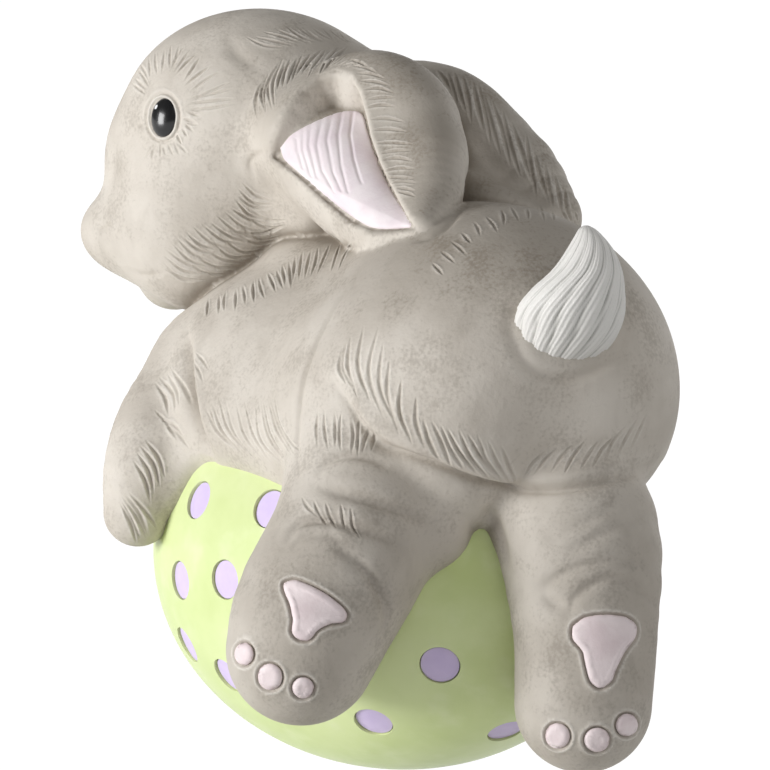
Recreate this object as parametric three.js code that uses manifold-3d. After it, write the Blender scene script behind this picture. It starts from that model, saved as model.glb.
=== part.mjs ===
// Hare lying over a spotted egg: a table figurine, cast in stone-filled resin and painted.
// The egg and the hare's body, head, ears, limbs and tail are cast apart and meet at the hare's creases,
// where round pegs hold them. Spots, paw pads, ear linings and eyes are inlaid in shallow recesses.
// Millimetres, +Z up. The origin is the centre of the egg's flat foot. The egg lies along Y,
// -Y is towards the hare's chest and +X is towards its left side.
import * as THREE from "three";
import { mergeVertices } from "three/addons/utils/BufferGeometryUtils.js";
import Module from "manifold-3d";

const wasm = await Module();
wasm.setup();

// Egg
const EGG_LENGTH = 108;
const EGG_WIDTH = 81.6;
const EGG_TAPER = 0.07; // share by which the end under the rump is slimmer
const EGG_FOOT_DEPTH = 2.6; // how much of the underside is ground flat
const SPOT_DIAMETER = 7.4;
const SPOT_DEPTH = 0.5; // how far a spot's face lies under the egg's
const SPOT_THICKNESS = 1.6;

// Body
const BODY_SINK = 1.6; // how far the body is pressed down over the egg
const RUMP_WIDTH = 66;
const RUMP_HEIGHT = 58;
const RUMP_TURN = -25; // degrees, from the egg's axis towards the hare's left
const HAUNCH_WIDTH = 42;
const CHEST_WIDTH = 46;
const NECK_WIDTH = 34;

// Head
const HEAD_WIDTH = 44;
const HEAD_LENGTH = 60;
const HEAD_HEIGHT = 50;
const HEAD_TURN = 40; // degrees, towards the hare's left
const CHEEK_WIDTH = 26;
const MUZZLE_HEIGHT = 20;
const EYE_WIDTH = 5.4;
const EYE_HEIGHT = 7.6;
const EYE_SINK = 0.6; // how far a bead's middle lies under the skin

// Ears, limbs and tail
const EAR_THICKNESS = 26;
const EAR_HOLLOW = 12.5; // radius of the round tool that hollows the ear
const EAR_LINING = 1.2;
const EAR_LIP = 1.2; // bare edge left between the lining and the ear's rim
const ARM_THICKNESS = 21;
const LEG_THICKNESS = 31;
const TAIL_LENGTH = 30;
const TAIL_WIDTH = 20;
const TAIL_FLUTES = 6;

// Paw pads
const HEEL_PAD_WIDTH = 12;
const TOE_PAD_DIAMETER = 4.6;
const TOE_REACH = 13.8; // from the middle of the heel pad to the row of toes
const TOE_PITCH = 6.6;
const PAD_RISE = 0.5;
const PAD_SINK = 1.4;
const PAD_GROOVE = 0.5;

// Fits
const GLUE_GAP = 0.3;
const LIMB_PEG = 7;
const EAR_PEG = 5;
const BODY_PEG = 12;
const BODY_PEG_DEPTH = 14; // of the socket in the egg

const EGG_RADIUS = EGG_WIDTH / 2;
const EGG_MIDDLE = EGG_RADIUS - EGG_FOOT_DEPTH;
const EGG_TOP = EGG_MIDDLE + EGG_RADIUS;
const BED = EGG_TOP - BODY_SINK; // height from which the body's forms are measured

const FUR = "#b9b2a6";
const EGG_GREEN = "#c9dc96";
const SPOT_LILAC = "#c9b2dd";
const PAD_PINK = "#ecd9d9";
const TAIL_WHITE = "#d9d9d4";
const EYE_BLACK = "#202224";

const deg = THREE.MathUtils.degToRad;
const vec = (x, y, z) => new THREE.Vector3(x, y, z);

// A clay form tells how far a point lies outside its surface, and the box that holds it.
const clay = (at, box) => ({ at, box });

function ball(x, y, z, rx, ry = rx, rz = rx) {
  const at = (px, py, pz) => {
    const ax = (px - x) / rx;
    const ay = (py - y) / ry;
    const az = (pz - z) / rz;
    const reach = Math.hypot(ax, ay, az);
    const steep = Math.hypot(ax / rx, ay / ry, az / rz);
    return steep > 0 ? (reach * (reach - 1)) / steep : -Math.min(rx, ry, rz);
  };
  return clay(at, new THREE.Box3(vec(x - rx, y - ry, z - rz), vec(x + rx, y + ry, z + rz)));
}

// A tapered roll of clay along a line of points [x, y, z, radius].
function roll(line, steps = 10) {
  const path = new THREE.CatmullRomCurve3(line.map((p) => vec(p[0], p[1], p[2])));
  const girth = new THREE.CatmullRomCurve3(line.map((p, i) => vec(i, p[3], 0)));
  const beads = [];
  const box = new THREE.Box3();
  for (let i = 0; i <= steps; i++) {
    const p = path.getPoint(i / steps);
    const r = girth.getPoint(i / steps).y;
    beads.push([p.x, p.y, p.z, r]);
    box.expandByPoint(p.clone().addScalar(r));
    box.expandByPoint(p.clone().addScalar(-r));
  }
  const at = (px, py, pz) => {
    let nearest = Infinity;
    for (let i = 0; i < steps; i++) {
      const [ax, ay, az, ra] = beads[i];
      const [bx, by, bz, rb] = beads[i + 1];
      const [dx, dy, dz] = [bx - ax, by - ay, bz - az];
      const along = ((px - ax) * dx + (py - ay) * dy + (pz - az) * dz) / (dx * dx + dy * dy + dz * dz);
      const t = THREE.MathUtils.clamp(along, 0, 1);
      const away = Math.hypot(px - ax - t * dx, py - ay - t * dy, pz - az - t * dz);
      nearest = Math.min(nearest, away - ra - t * (rb - ra));
    }
    return nearest;
  };
  return clay(at, box);
}

// Forms pressed together, with a soft fillet of that width between them.
function melt(width, ...forms) {
  const at = (x, y, z) => {
    let d = forms[0].at(x, y, z);
    for (let i = 1; i < forms.length; i++) {
      const e = forms[i].at(x, y, z);
      const close = Math.max(width - Math.abs(d - e), 0) / width;
      d = Math.min(d, e) - (close * close * width) / 4;
    }
    return d;
  };
  const box = forms.reduce((all, form) => all.union(form.box), new THREE.Box3());
  return clay(at, box.clone().expandByScalar(width / 4));
}

// A form modelled in a frame of its own, set down at a place and turned about +Z.
function set(form, [x, y, z], turn = 0) {
  const [c, s] = [Math.cos(deg(turn)), Math.sin(deg(turn))];
  const at = (px, py, pz) =>
    form.at(c * (px - x) + s * (py - y), c * (py - y) - s * (px - x), pz - z);
  const place = new THREE.Matrix4().makeRotationZ(deg(turn)).setPosition(x, y, z);
  return clay(at, form.box.clone().applyMatrix4(place));
}

// The same form on the left and on the right of its frame.
function pair(form) {
  const box = form.box.clone();
  box.expandByPoint(vec(-box.max.x, box.min.y, box.min.z));
  return clay((x, y, z) => form.at(Math.abs(x), y, z), box);
}

// How far along a ray the form ends, looked for from its outside and then halved down to the surface.
function leave(form, from, way) {
  const depth = (t) => form.at(from.x + way.x * t, from.y + way.y * t, from.z + way.z * t);
  let outside = form.box.getSize(vec()).length();
  let inside = 0;
  for (let n = 0; n < 60; n++) {
    const d = depth(outside);
    const t = outside - d * 0.8;
    if (d < 0.004 || t < 0) return Math.max(outside, 0);
    if (depth(t) < 0) {
      inside = t;
      break;
    }
    outside = t;
  }
  while (outside - inside > 0.004) {
    const t = (outside + inside) / 2;
    if (depth(t) < 0) inside = t;
    else outside = t;
  }
  return outside;
}

// The skin of a form, as rings of vertices round a middle line that runs inside it, closed by a pole at
// each end. Each vertex is where a ray from the middle line leaves the form, plus an even growth and what
// a carving adds at that share of the line and that turn round it.
function skin(form, line, { rings, around, caps }, grow = 0, carving = () => 0) {
  const path = new THREE.CatmullRomCurve3(line.map((p) => vec(p[0], p[1], p[2])));
  const frames = path.computeFrenetFrames(rings, false);
  const stations = [];
  for (let i = 0; i < caps; i++) stations.push([0, (i / caps) * 90]);
  for (let i = 0; i <= rings; i++) stations.push([i, 90]);
  for (let i = 1; i <= caps; i++) stations.push([rings, 90 + (i / caps) * 90]);
  const vertices = [];
  for (const [station, angle] of stations) {
    const from = path.getPointAt(station / rings);
    const [along, out] = [-Math.cos(deg(angle)), Math.sin(deg(angle))];
    const count = angle % 180 === 0 ? 1 : around;
    for (let j = 0; j < count; j++) {
      const turn = (j / around) * 2 * Math.PI;
      const way = frames.tangents[station].clone().multiplyScalar(along);
      way.addScaledVector(frames.normals[station], out * Math.cos(turn));
      way.addScaledVector(frames.binormals[station], out * Math.sin(turn));
      const reach = leave(form, from, way) + grow + carving(station / rings, turn) * out;
      const p = from.clone().addScaledVector(way, reach);
      vertices.push(p.x, p.y, p.z);
    }
  }
  const faces = [];
  const last = vertices.length / 3 - 1;
  for (let j = 0; j < around; j++) {
    const k = (j + 1) % around;
    faces.push(0, 1 + k, 1 + j);
    faces.push(last, last - around + j, last - around + k);
    for (let i = 0; i < stations.length - 3; i++) {
      const a = 1 + i * around;
      const b = a + around;
      faces.push(a + j, a + k, b + k, a + j, b + k, b + j);
    }
  }
  const geometry = new THREE.BufferGeometry();
  geometry.setAttribute("position", new THREE.Float32BufferAttribute(vertices, 3));
  geometry.setIndex(faces);
  return solid(geometry);
}

// A closed mesh as a solid that can be joined and cut, and back.
function solid(geometry) {
  const bare = geometry.clone();
  bare.deleteAttribute("normal");
  bare.deleteAttribute("uv");
  const merged = mergeVertices(bare, 1e-4);
  return new wasm.Manifold(
    new wasm.Mesh({
      numProp: 3,
      vertProperties: new Float32Array(merged.attributes.position.array),
      triVerts: new Uint32Array(merged.index.array),
    }),
  );
}

function surface(body) {
  const mesh = body.getMesh();
  const geometry = new THREE.BufferGeometry();
  geometry.setAttribute("position", new THREE.BufferAttribute(mesh.vertProperties, 3));
  geometry.setIndex(new THREE.BufferAttribute(mesh.triVerts, 1));
  return geometry;
}

const cutFrom = (body, ...tools) => tools.reduce((rest, tool) => rest.subtract(tool), body);

const figure = new THREE.Group();

// A finished piece: a closed body with its paint.
function piece(name, body, colour, roughness = 0.75) {
  const paint = new THREE.MeshStandardMaterial({ color: colour, roughness, metalness: 0 });
  const mesh = new THREE.Mesh(surface(body), paint);
  mesh.name = name;
  figure.add(mesh);
}

// A round locating peg from one point to another, grown all round to make its socket.
function peg(diameter, from, to, grow = 0) {
  const along = vec(...to).sub(vec(...from));
  const radius = diameter / 2 + grow;
  const rod = new THREE.CylinderGeometry(radius, radius, along.length() + 2 * grow, 16);
  rod.applyQuaternion(new THREE.Quaternion().setFromUnitVectors(vec(0, 1, 0), along.clone().normalize()));
  const middle = vec(...from).addScaledVector(along, 0.5);
  return solid(rod.translate(middle.x, middle.y, middle.z));
}

// A frame on the outside of a form: z points out of it, and y is as near as can be to up.
function frameOn(at, out, up) {
  const z = vec(...out).normalize();
  const x = vec(...up).cross(z).normalize();
  return new THREE.Matrix4().makeBasis(x, z.clone().cross(x), z).setPosition(...at);
}

// A straight-sided plug under an outline, from that far below its frame to that far above it.
function plug(outline, curveSegments, below, above, frame) {
  const extrusion = { depth: below + above, bevelEnabled: false, curveSegments };
  const body = new THREE.ExtrudeGeometry(outline, extrusion);
  return solid(body.translate(0, 0, -below).applyMatrix4(frame));
}

const disc = (x, y, radius) => new THREE.Shape().absarc(x, y, radius, 0, 2 * Math.PI);

// Egg
const EGG_SKIN = { rings: 5, around: 28, caps: 7 };
const eggForm = (() => {
  const even = ball(0, 0, 0, EGG_RADIUS, EGG_LENGTH / 2, EGG_RADIUS);
  const slimmed = (x, y, z) => {
    const slim = 1 - EGG_TAPER * (y / (EGG_LENGTH / 2));
    return even.at(x / slim, y, z / slim);
  };
  return set(clay(slimmed, even.box.clone().expandByScalar(EGG_TAPER * EGG_RADIUS)), [0, 0, EGG_MIDDLE]);
})();
const eggLine = [[0, -0.37, 0], [0, 0.37, 0]].map(([x, y]) => [x, (y * EGG_LENGTH) / 2, EGG_MIDDLE]);
const eggSkin = (grow) => skin(eggForm, eggLine, EGG_SKIN, grow);
const eggRoom = eggSkin(GLUE_GAP);

// A place on the egg by two angles in its own proportions, and its direction out of the egg there.
function onEgg(azimuth, height) {
  const out = vec(Math.cos(deg(azimuth)), Math.sin(deg(azimuth)), 0).multiplyScalar(Math.cos(deg(height)));
  out.z = Math.sin(deg(height));
  const radius = EGG_RADIUS * (1 - EGG_TAPER * out.y);
  const at = vec(out.x * radius, (out.y * EGG_LENGTH) / 2, out.z * radius);
  const normal = vec(at.x / radius ** 2, at.y / (EGG_LENGTH / 2) ** 2, at.z / radius ** 2).normalize();
  at.z += EGG_MIDDLE;
  return { at, normal };
}

// Limbs lie round the egg: each point of a limb's line is [azimuth, height, distance off the egg, radius].
const roundEgg = (points) =>
  points.map(([azimuth, height, off, radius]) => {
    const { at, normal } = onEgg(azimuth, height);
    return [...at.addScaledVector(normal, off), radius];
  });

// Spots, by azimuth and height, in slanting rows round the egg
const SPOTS = [
  [-19, 23], [6, 27], [-20, 0], [-3, 5], [-24, -20], [-8, -25], [50, -11], [34, -33], [76, -38],
  [-46, -12], [-62, -32], [-74, -4], [-96, 14], [-98, -20], [-122, -6], [-148, -12],
  [-168, 4], [-158, -34], [174, -16], [176, 25], [150, 2], [124, -14],
];
const spotPlug = ([azimuth, height], grow) => {
  const { at, normal } = onEgg(azimuth, height);
  const outline = disc(0, 0, SPOT_DIAMETER / 2 + grow);
  const below = SPOT_DEPTH + SPOT_THICKNESS + grow;
  return plug(outline, 5, below, SPOT_THICKNESS, frameOn(at, normal, [0, 0, 1]));
};
const spotFace = eggSkin(-SPOT_DEPTH);
const spotRooms = SPOTS.map((spot) => spotPlug(spot, GLUE_GAP));
const bodyPeg = (grow) => peg(BODY_PEG, [0, 0, EGG_TOP - BODY_PEG_DEPTH], [0, 0, EGG_TOP + 10], grow);
const tableTop = solid(new THREE.BoxGeometry(2 * EGG_WIDTH, 2 * EGG_LENGTH, 20).translate(0, 0, -10));
piece("egg", cutFrom(eggSkin(0), tableTop, bodyPeg(GLUE_GAP), ...spotRooms), EGG_GREEN);
SPOTS.forEach((spot, i) => {
  const name = "egg_spot_" + String(i + 1).padStart(2, "0");
  piece(name, spotPlug(spot, 0).intersect(spotFace), SPOT_LILAC);
});

// Torso: rump and haunches, back, belly, neck and chest, lying on the egg
const REAR = EGG_LENGTH / 2 - 29;
const FRONT = 18 - EGG_LENGTH / 2;
const rump = melt(
  8,
  ball(0, 0, 0, RUMP_WIDTH / 2, RUMP_WIDTH / 2, RUMP_HEIGHT / 2),
  pair(ball(RUMP_WIDTH / 2 - HAUNCH_WIDTH / 2 + 1, 7, -9, HAUNCH_WIDTH / 2, 26, 25)),
);
const torsoForm = set(
  melt(
    12,
    set(rump, [-4, REAR, 6.6], RUMP_TURN),
    ball(-9, 4, 5.6, 24, 27, 25),
    ball(6, -16, -3.4, 25, 27, 23),
    ball(-9, FRONT + 2, 10, NECK_WIDTH / 2, 17, 14),
    ball(4, FRONT, -6.4, CHEST_WIDTH / 2, 19, 17),
    ball(16, REAR - 9, -3.4, HAUNCH_WIDTH / 2 - 1, 21, 20),
  ),
  [0, 0, BED],
);
const torsoLine = [[4, FRONT + 6, BED - 1], [2, 0, BED + 4], [0, REAR + 5, BED + 6]];
const torsoSkin = (grow) => skin(torsoForm, torsoLine, { rings: 10, around: 24, caps: 4 }, grow);
const torsoRoom = torsoSkin(GLUE_GAP);

// Head, modelled facing -Y with its middle in the plane x = 0: skull, nape, cheeks, muzzle and chin
const HEAD = [-3, FRONT - 17, BED + 44.6];
const headClay = melt(
  8,
  ball(0, 6, -2, HEAD_WIDTH / 2, HEAD_LENGTH / 2, HEAD_HEIGHT / 2),
  ball(0, 14, -10, NECK_WIDTH / 2, 18, 16),
  pair(ball(HEAD_WIDTH / 2 - CHEEK_WIDTH / 2 - 1, -5, -19, CHEEK_WIDTH / 2, 17, 17)),
  pair(ball(3.5, -20, -21.5, 8, 11, MUZZLE_HEIGHT / 2)),
  ball(0, -13, -33, 6.5),
);
const headForm = set(headClay, HEAD, HEAD_TURN);
const fromHead = ([x, y, z, ...radius]) => [HEAD[0] + x, HEAD[1] + y, HEAD[2] + z, ...radius];
const headLine = [[4, -3, -8], [-2, 3, -2]].map(fromHead);
const headSkin = (grow) => skin(headForm, headLine, { rings: 6, around: 24, caps: 6 }, grow);
const headRoom = headSkin(GLUE_GAP);

// Eyes: glossy beads, half sunk
const EYE_PLACE = vec(0, -10.6, 3);
const eyeBead = (side, grow) => {
  const way = vec(side, 0, 0);
  const middle = EYE_PLACE.clone().addScaledVector(way, leave(headClay, EYE_PLACE, way) - EYE_SINK);
  const bead = new THREE.SphereGeometry(1, 12, 8);
  bead.scale(EYE_WIDTH / 2 + grow, EYE_WIDTH / 2 + grow, EYE_HEIGHT / 2 + grow);
  bead.translate(middle.x, middle.y, middle.z);
  return solid(bead.applyMatrix4(new THREE.Matrix4().makeRotationZ(deg(HEAD_TURN)).setPosition(...HEAD)));
};

// Ears, laid back from the head over the shoulders, hollowed on their outer side
const EAR_SKIN = { rings: 7, around: 16, caps: 3 };
const HOLLOW_SKIN = { rings: 6, around: 10, caps: 2 };
const FAR_HOLLOW = EAR_HOLLOW - 3; // the far ear is the more closed one
const ears = {
  left: {
    line: [[4.5, 22, -3, 6.5], [3, 29, 0, 11.5], [3, 44, -7, 12.5], [10, 65, -16, 7]],
    fold: ball(...fromHead([-5, 40, -1]), EAR_THICKNESS / 2, 22, 20),
    middle: [[-1, 27, 1], [-5, 39, -1], [5, 61, -10]],
    hollow: [[12, 23, -2, 2.5], [17, 37, 1, EAR_HOLLOW], [19, 47, -4, EAR_HOLLOW], [18.5, 62, -14, 4.5]],
    liningEdge: [8, 33, 3.2],
    liningDown: [-0.195, 0.428, -0.88],
    peg: [[-1, 33, 0], [-3, 15, 1]],
  },
  right: {
    line: [[-15, 13, 7, 9], [-23, 33, 3, 11], [-26.5, 54, -7, 11], [-27, 66, -15.5, 7]],
    fold: ball(...fromHead([-24, 38, 1]), EAR_THICKNESS / 2 - 4, 17, 13),
    middle: [[-15, 13, 7], [-23, 33, 3], [-26.5, 54, -7], [-27, 66, -15.5]],
    hollow: [[-26, 18, 5, 2.5], [-37, 34, 2, FAR_HOLLOW], [-40, 49, -6, FAR_HOLLOW], [-36, 61, -14, 3]],
    liningEdge: [-32, 41, 5],
    liningDown: [0.2, 0.3, -0.9],
    peg: [[-21, 27, 4], [-11, 13, 6]],
  },
};
for (const ear of Object.values(ears)) {
  const form = melt(6, ear.fold, roll(ear.line.map(fromHead)));
  ear.skin = (grow) => skin(form, ear.middle.map(fromHead), EAR_SKIN, grow);
  const hollow = ear.hollow.map(fromHead);
  ear.tool = (grow) => skin(roll(hollow), hollow, HOLLOW_SKIN, grow);
  ear.pegBody = (grow) => peg(EAR_PEG, ...ear.peg.map(fromHead), grow);
  ear.lowerHalf = (grow) => {
    const down = vec(...ear.liningDown).normalize();
    const reach = 3 * EAR_THICKNESS;
    const block = new THREE.BoxGeometry(reach, reach, reach);
    block.applyQuaternion(new THREE.Quaternion().setFromUnitVectors(vec(0, 0, 1), down));
    const middle = vec(...fromHead(ear.liningEdge)).addScaledVector(down, reach / 2 - grow);
    return solid(block.translate(middle.x, middle.y, middle.z));
  };
}

// Arms, hanging from the shoulders round the blunt end of the egg
const ARM_SKIN = { rings: 6, around: 12, caps: 3 };
const armRound = roundEgg([
  [-61, 37, 9.1, (ARM_THICKNESS / 2) * 1.13],
  [-55, 25, 6, ARM_THICKNESS / 2],
  [-46, 16, 1.6, (ARM_THICKNESS / 2) * 0.82],
  [-42, 12.5, 0, (ARM_THICKNESS / 2) * 0.72],
]);
const armLine = (side) =>
  [[13, FRONT - 3, BED + 1.6, 13], ...armRound].map(([x, y, z, radius]) => [side * x, y, z, radius]);
const armPeg = (side, grow) => {
  const [shoulder, upper, lower] = armLine(side).map((p) => vec(...p));
  const inArm = upper.clone().lerp(lower, 0.7);
  const inTorso = upper.clone().lerp(shoulder, 0.6);
  return peg(LIMB_PEG, inArm.toArray(), inTorso.toArray(), grow);
};

// Legs, hanging from the hips: the left one over the egg's side, the right one over its slimmer end
const LEG_SKIN = { rings: 7, around: 14, caps: 3 };
const legs = {
  left: {
    line: [[RUMP_WIDTH / 2 - 13, REAR - 7, BED - 4.4, 17], ...roundEgg([
      [32, 27, 2.1, (LEG_THICKNESS / 2) * 1.03],
      [27, 4, 9.3, (LEG_THICKNESS / 2) * 0.97],
      [26, -3, 12.3, (LEG_THICKNESS / 2) * 0.9],
    ])],
    peg: { fromThigh: [3.5, 2.7, 4.3], fromHip: [0, 0, 2.4] },
    sole: { fromToes: [0, 2.6, 8.9], out: [0.8, 0.57, 0.15], up: [-0.38, 0.3, 0.88] },
  },
  right: {
    line: [[0, REAR + RUMP_WIDTH / 2 - 19, BED - 12, 15], ...roundEgg([
      [87, 23, 1.5, (LEG_THICKNESS / 2) * 0.97],
      [83, 1, 7.6, (LEG_THICKNESS / 2) * 0.9],
      [81, -12, 12.6, (LEG_THICKNESS / 2) * 0.88],
    ])],
    peg: { fromThigh: [-0.9, 4.1, 7.5], fromHip: [-1, 1, 8] },
    sole: { fromToes: [-2.5, -2, 10.2], out: [0.55, 0.82, 0.05], up: [-0.05, 0, 1] },
  },
};

// Paw pads: raised inlays of one thickness that follow the round sole, each in a groove. The heel pad is
// lobed above and narrow below. Its right side is drawn as stops with a bend before each, in shares of
// half its width, and its left side mirrors them.
const HEEL_START = [0, -1.06];
const HEEL_SIDE = [
  { bend: [0.34, -1.06], stop: [0.41, -0.63] },
  { bend: [0.42, -0.16], stop: [0.61, 0.12] },
  { bend: [0.91, 0.41], stop: [1, 0.69] },
  { bend: [1.03, 1], stop: [0.69, 0.95] },
];
const HEEL_TOP_BEND = [0, 0.81];
const heelPad = (grow) => {
  const half = HEEL_PAD_WIDTH / 2 + grow;
  const shape = new THREE.Shape();
  const curve = (bend, stop, side) =>
    shape.quadraticCurveTo(side * bend[0] * half, bend[1] * half, side * stop[0] * half, stop[1] * half);
  shape.moveTo(HEEL_START[0] * half, HEEL_START[1] * half);
  HEEL_SIDE.forEach(({ bend, stop }) => curve(bend, stop, 1));
  curve(HEEL_TOP_BEND, HEEL_SIDE.at(-1).stop, -1);
  for (let i = HEEL_SIDE.length - 1; i >= 0; i--) {
    curve(HEEL_SIDE[i].bend, i > 0 ? HEEL_SIDE[i - 1].stop : HEEL_START, -1);
  }
  return shape;
};
const MIDDLE_TOE_LEAD = 1.6; // how far the middle toe reaches past the outer two
for (const leg of Object.values(legs)) {
  const form = roll(leg.line);
  leg.skin = (grow) => skin(form, leg.line, LEG_SKIN, grow);
  const near = ([x, y, z], offset) => vec(x, y, z).add(vec(...offset));
  const [hip, thigh, , toes] = leg.line;
  const pegEnds = [near(thigh, leg.peg.fromThigh).toArray(), near(hip, leg.peg.fromHip).toArray()];
  leg.pegBody = (grow) => peg(LIMB_PEG, ...pegEnds, grow);
  const out = vec(...leg.sole.out).normalize();
  const from = near(toes, leg.sole.fromToes);
  const frame = frameOn(from.addScaledVector(out, leave(form, from, out)), out, leg.sole.up);
  const pads = [{ name: "heel_pad", outline: heelPad, segments: 2 }];
  [-1, 0, 1].forEach((n, i) => {
    const y = -TOE_REACH - (n === 0 ? MIDDLE_TOE_LEAD : 0);
    const outline = (grow) => disc(n * TOE_PITCH, y, TOE_PAD_DIAMETER / 2 + grow);
    pads.push({ name: "toe_pad_" + (i + 1), outline, segments: 4 });
  });
  const raised = leg.skin(PAD_RISE);
  const under = leg.skin(-PAD_SINK);
  const deeper = leg.skin(-PAD_SINK - GLUE_GAP);
  const reach = HEEL_PAD_WIDTH / 2;
  leg.pads = pads.map(({ name, outline, segments }) => ({
    name,
    body: plug(outline(0), segments, reach, reach, frame).intersect(raised).subtract(under),
    room: plug(outline(PAD_GROOVE), segments, reach, reach, frame).subtract(deeper),
  }));
}

// Tail: a fluted flame, its tip curled up
const fromTail = ([x, y, z, ...radius]) => [4 + x, REAR + RUMP_WIDTH / 2 - 4 + y, BED + 12.6 + z, ...radius];
const tailLine = [
  [0, 0, 0, 0.45 * TAIL_WIDTH],
  [2, 5, 0.2 * TAIL_LENGTH, 0.48 * TAIL_WIDTH],
  [2, 6, 0.47 * TAIL_LENGTH, 0.32 * TAIL_WIDTH],
  [1, 3, 0.8 * TAIL_LENGTH, 0.08 * TAIL_WIDTH],
].map(fromTail);
const flutes = (along, turn) => 0.5 * (1 - along) * Math.cos(TAIL_FLUTES * turn + 3 * along);
const tailBody = skin(roll(tailLine), tailLine, { rings: 8, around: 3 * TAIL_FLUTES, caps: 3 }, 0, flutes);
const tailPeg = (grow) => peg(EAR_PEG, fromTail([1, 3, 3]), fromTail([-2, -8, -3]), grow);

// The cut pieces
const neckPeg = (grow) => peg(BODY_PEG, fromHead([-1, 7, -17]), [0, FRONT, BED + 6], grow);
const sockets = [
  neckPeg(GLUE_GAP),
  armPeg(1, GLUE_GAP),
  armPeg(-1, GLUE_GAP),
  legs.left.pegBody(GLUE_GAP),
  legs.right.pegBody(GLUE_GAP),
  tailPeg(GLUE_GAP),
];
piece("torso", cutFrom(torsoSkin(0), eggRoom, headRoom, ...sockets).add(bodyPeg(0)), FUR);
const headSockets = [
  ears.left.pegBody(GLUE_GAP),
  ears.right.pegBody(GLUE_GAP),
  eyeBead(1, GLUE_GAP),
  eyeBead(-1, GLUE_GAP),
];
piece("head", cutFrom(headSkin(0).add(neckPeg(0)), ...headSockets), FUR);
piece("eye_left", eyeBead(1, 0), EYE_BLACK, 0.1);
piece("eye_right", eyeBead(-1, 0), EYE_BLACK, 0.1);
const earRooms = [headRoom, torsoRoom];
for (const [side, ear] of Object.entries(ears)) {
  const lining = ear.tool(EAR_LINING).intersect(ear.lowerHalf(0)).intersect(ear.skin(-EAR_LIP));
  const seat = ear
    .tool(EAR_LINING + GLUE_GAP)
    .intersect(ear.lowerHalf(GLUE_GAP))
    .intersect(ear.skin(GLUE_GAP - EAR_LIP));
  piece("ear_" + side, cutFrom(ear.skin(0), ear.tool(0), seat, ...earRooms).add(ear.pegBody(0)), FUR);
  piece("ear_lining_" + side, cutFrom(lining, ear.tool(0), ...earRooms), PAD_PINK);
  earRooms.push(ear.skin(GLUE_GAP));
}
for (const [name, side] of [["left", 1], ["right", -1]]) {
  const arm = skin(roll(armLine(side)), armLine(side), ARM_SKIN);
  piece("arm_" + name, cutFrom(arm, eggRoom, torsoRoom, headRoom).add(armPeg(side, 0)), FUR);
}
for (const [side, leg] of Object.entries(legs)) {
  const rooms = leg.pads.map((pad) => pad.room);
  piece("leg_" + side, cutFrom(leg.skin(0), eggRoom, torsoRoom, ...rooms).add(leg.pegBody(0)), FUR);
  leg.pads.forEach((pad) => piece(`${side}_${pad.name}`, pad.body, PAD_PINK));
}
piece("tail", tailBody.subtract(torsoRoom).add(tailPeg(0)), TAIL_WHITE);

export default figure;
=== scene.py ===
import math

import bmesh
import bpy
import numpy as np
from mathutils import Matrix, Vector
from mathutils.bvhtree import BVHTree
from mathutils.kdtree import KDTree


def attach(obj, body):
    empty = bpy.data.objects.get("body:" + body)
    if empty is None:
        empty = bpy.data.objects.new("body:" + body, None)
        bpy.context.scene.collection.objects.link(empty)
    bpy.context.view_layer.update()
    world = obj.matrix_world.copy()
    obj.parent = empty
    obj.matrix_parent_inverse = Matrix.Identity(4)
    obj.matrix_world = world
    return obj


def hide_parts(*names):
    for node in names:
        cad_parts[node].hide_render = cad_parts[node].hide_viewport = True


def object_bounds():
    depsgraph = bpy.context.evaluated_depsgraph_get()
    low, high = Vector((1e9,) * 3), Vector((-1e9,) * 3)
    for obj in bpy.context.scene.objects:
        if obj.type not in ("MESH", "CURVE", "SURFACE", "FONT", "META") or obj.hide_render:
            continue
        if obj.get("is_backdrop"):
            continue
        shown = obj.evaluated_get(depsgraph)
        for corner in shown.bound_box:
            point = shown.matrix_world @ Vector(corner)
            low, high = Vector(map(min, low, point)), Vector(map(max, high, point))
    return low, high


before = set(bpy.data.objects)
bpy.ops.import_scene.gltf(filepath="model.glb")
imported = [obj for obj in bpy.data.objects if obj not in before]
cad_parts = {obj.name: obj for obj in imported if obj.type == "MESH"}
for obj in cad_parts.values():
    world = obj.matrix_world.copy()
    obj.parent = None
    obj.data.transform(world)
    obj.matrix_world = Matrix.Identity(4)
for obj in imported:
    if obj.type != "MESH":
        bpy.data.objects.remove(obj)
cad_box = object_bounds()

# Camera: it stands behind the hare's left shoulder and a little above the table. Details are placed as a
# sculptor sees them from there: [x, y] on a picture of 770 by 770, and millimetres nearer than the middle.
# Lengths on the object are in millimetres, and Blender's are in metres.
MM = 0.001
METRE = 1000
PICTURE = 770
FOCUS = 3500
SENSOR = 36
LENS_AWAY = 0.7
PHOTO_AZIMUTH, PHOTO_ELEVATION = 42, 12
PHOTO_GAZE = (-4.09, -6.33, 73.22)


class Viewpoint:
    def __init__(self, azimuth, elevation, target):
        turn, rise = math.radians(azimuth), math.radians(elevation)
        level = math.cos(rise)
        self.back = Vector((math.sin(turn) * level, math.cos(turn) * level, math.sin(rise)))
        self.right = Vector((-math.cos(turn), math.sin(turn), 0))
        self.up = self.back.cross(self.right)
        self.place = Vector([length * MM for length in target]) + self.back * LENS_AWAY

    def sight(self, x, y):
        across = (x - PICTURE / 2) / FOCUS
        below = (y - PICTURE / 2) / FOCUS
        return (self.right * across - self.up * below - self.back).normalized()

    def at(self, x, y, nearer):
        away = LENS_AWAY - nearer * MM
        aside = (self.right * (x - PICTURE / 2) - self.up * (y - PICTURE / 2)) / FOCUS
        return (self.place + (aside - self.back) * away) * METRE

    def picture(self, p):
        from_lens = p - np.array(self.place) / MM
        ahead, right, up = [from_lens @ np.array(way) for way in (self.back, self.right, self.up)]
        return PICTURE / 2 + np.column_stack((right, -up)) * FOCUS / -ahead[:, None]


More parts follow.
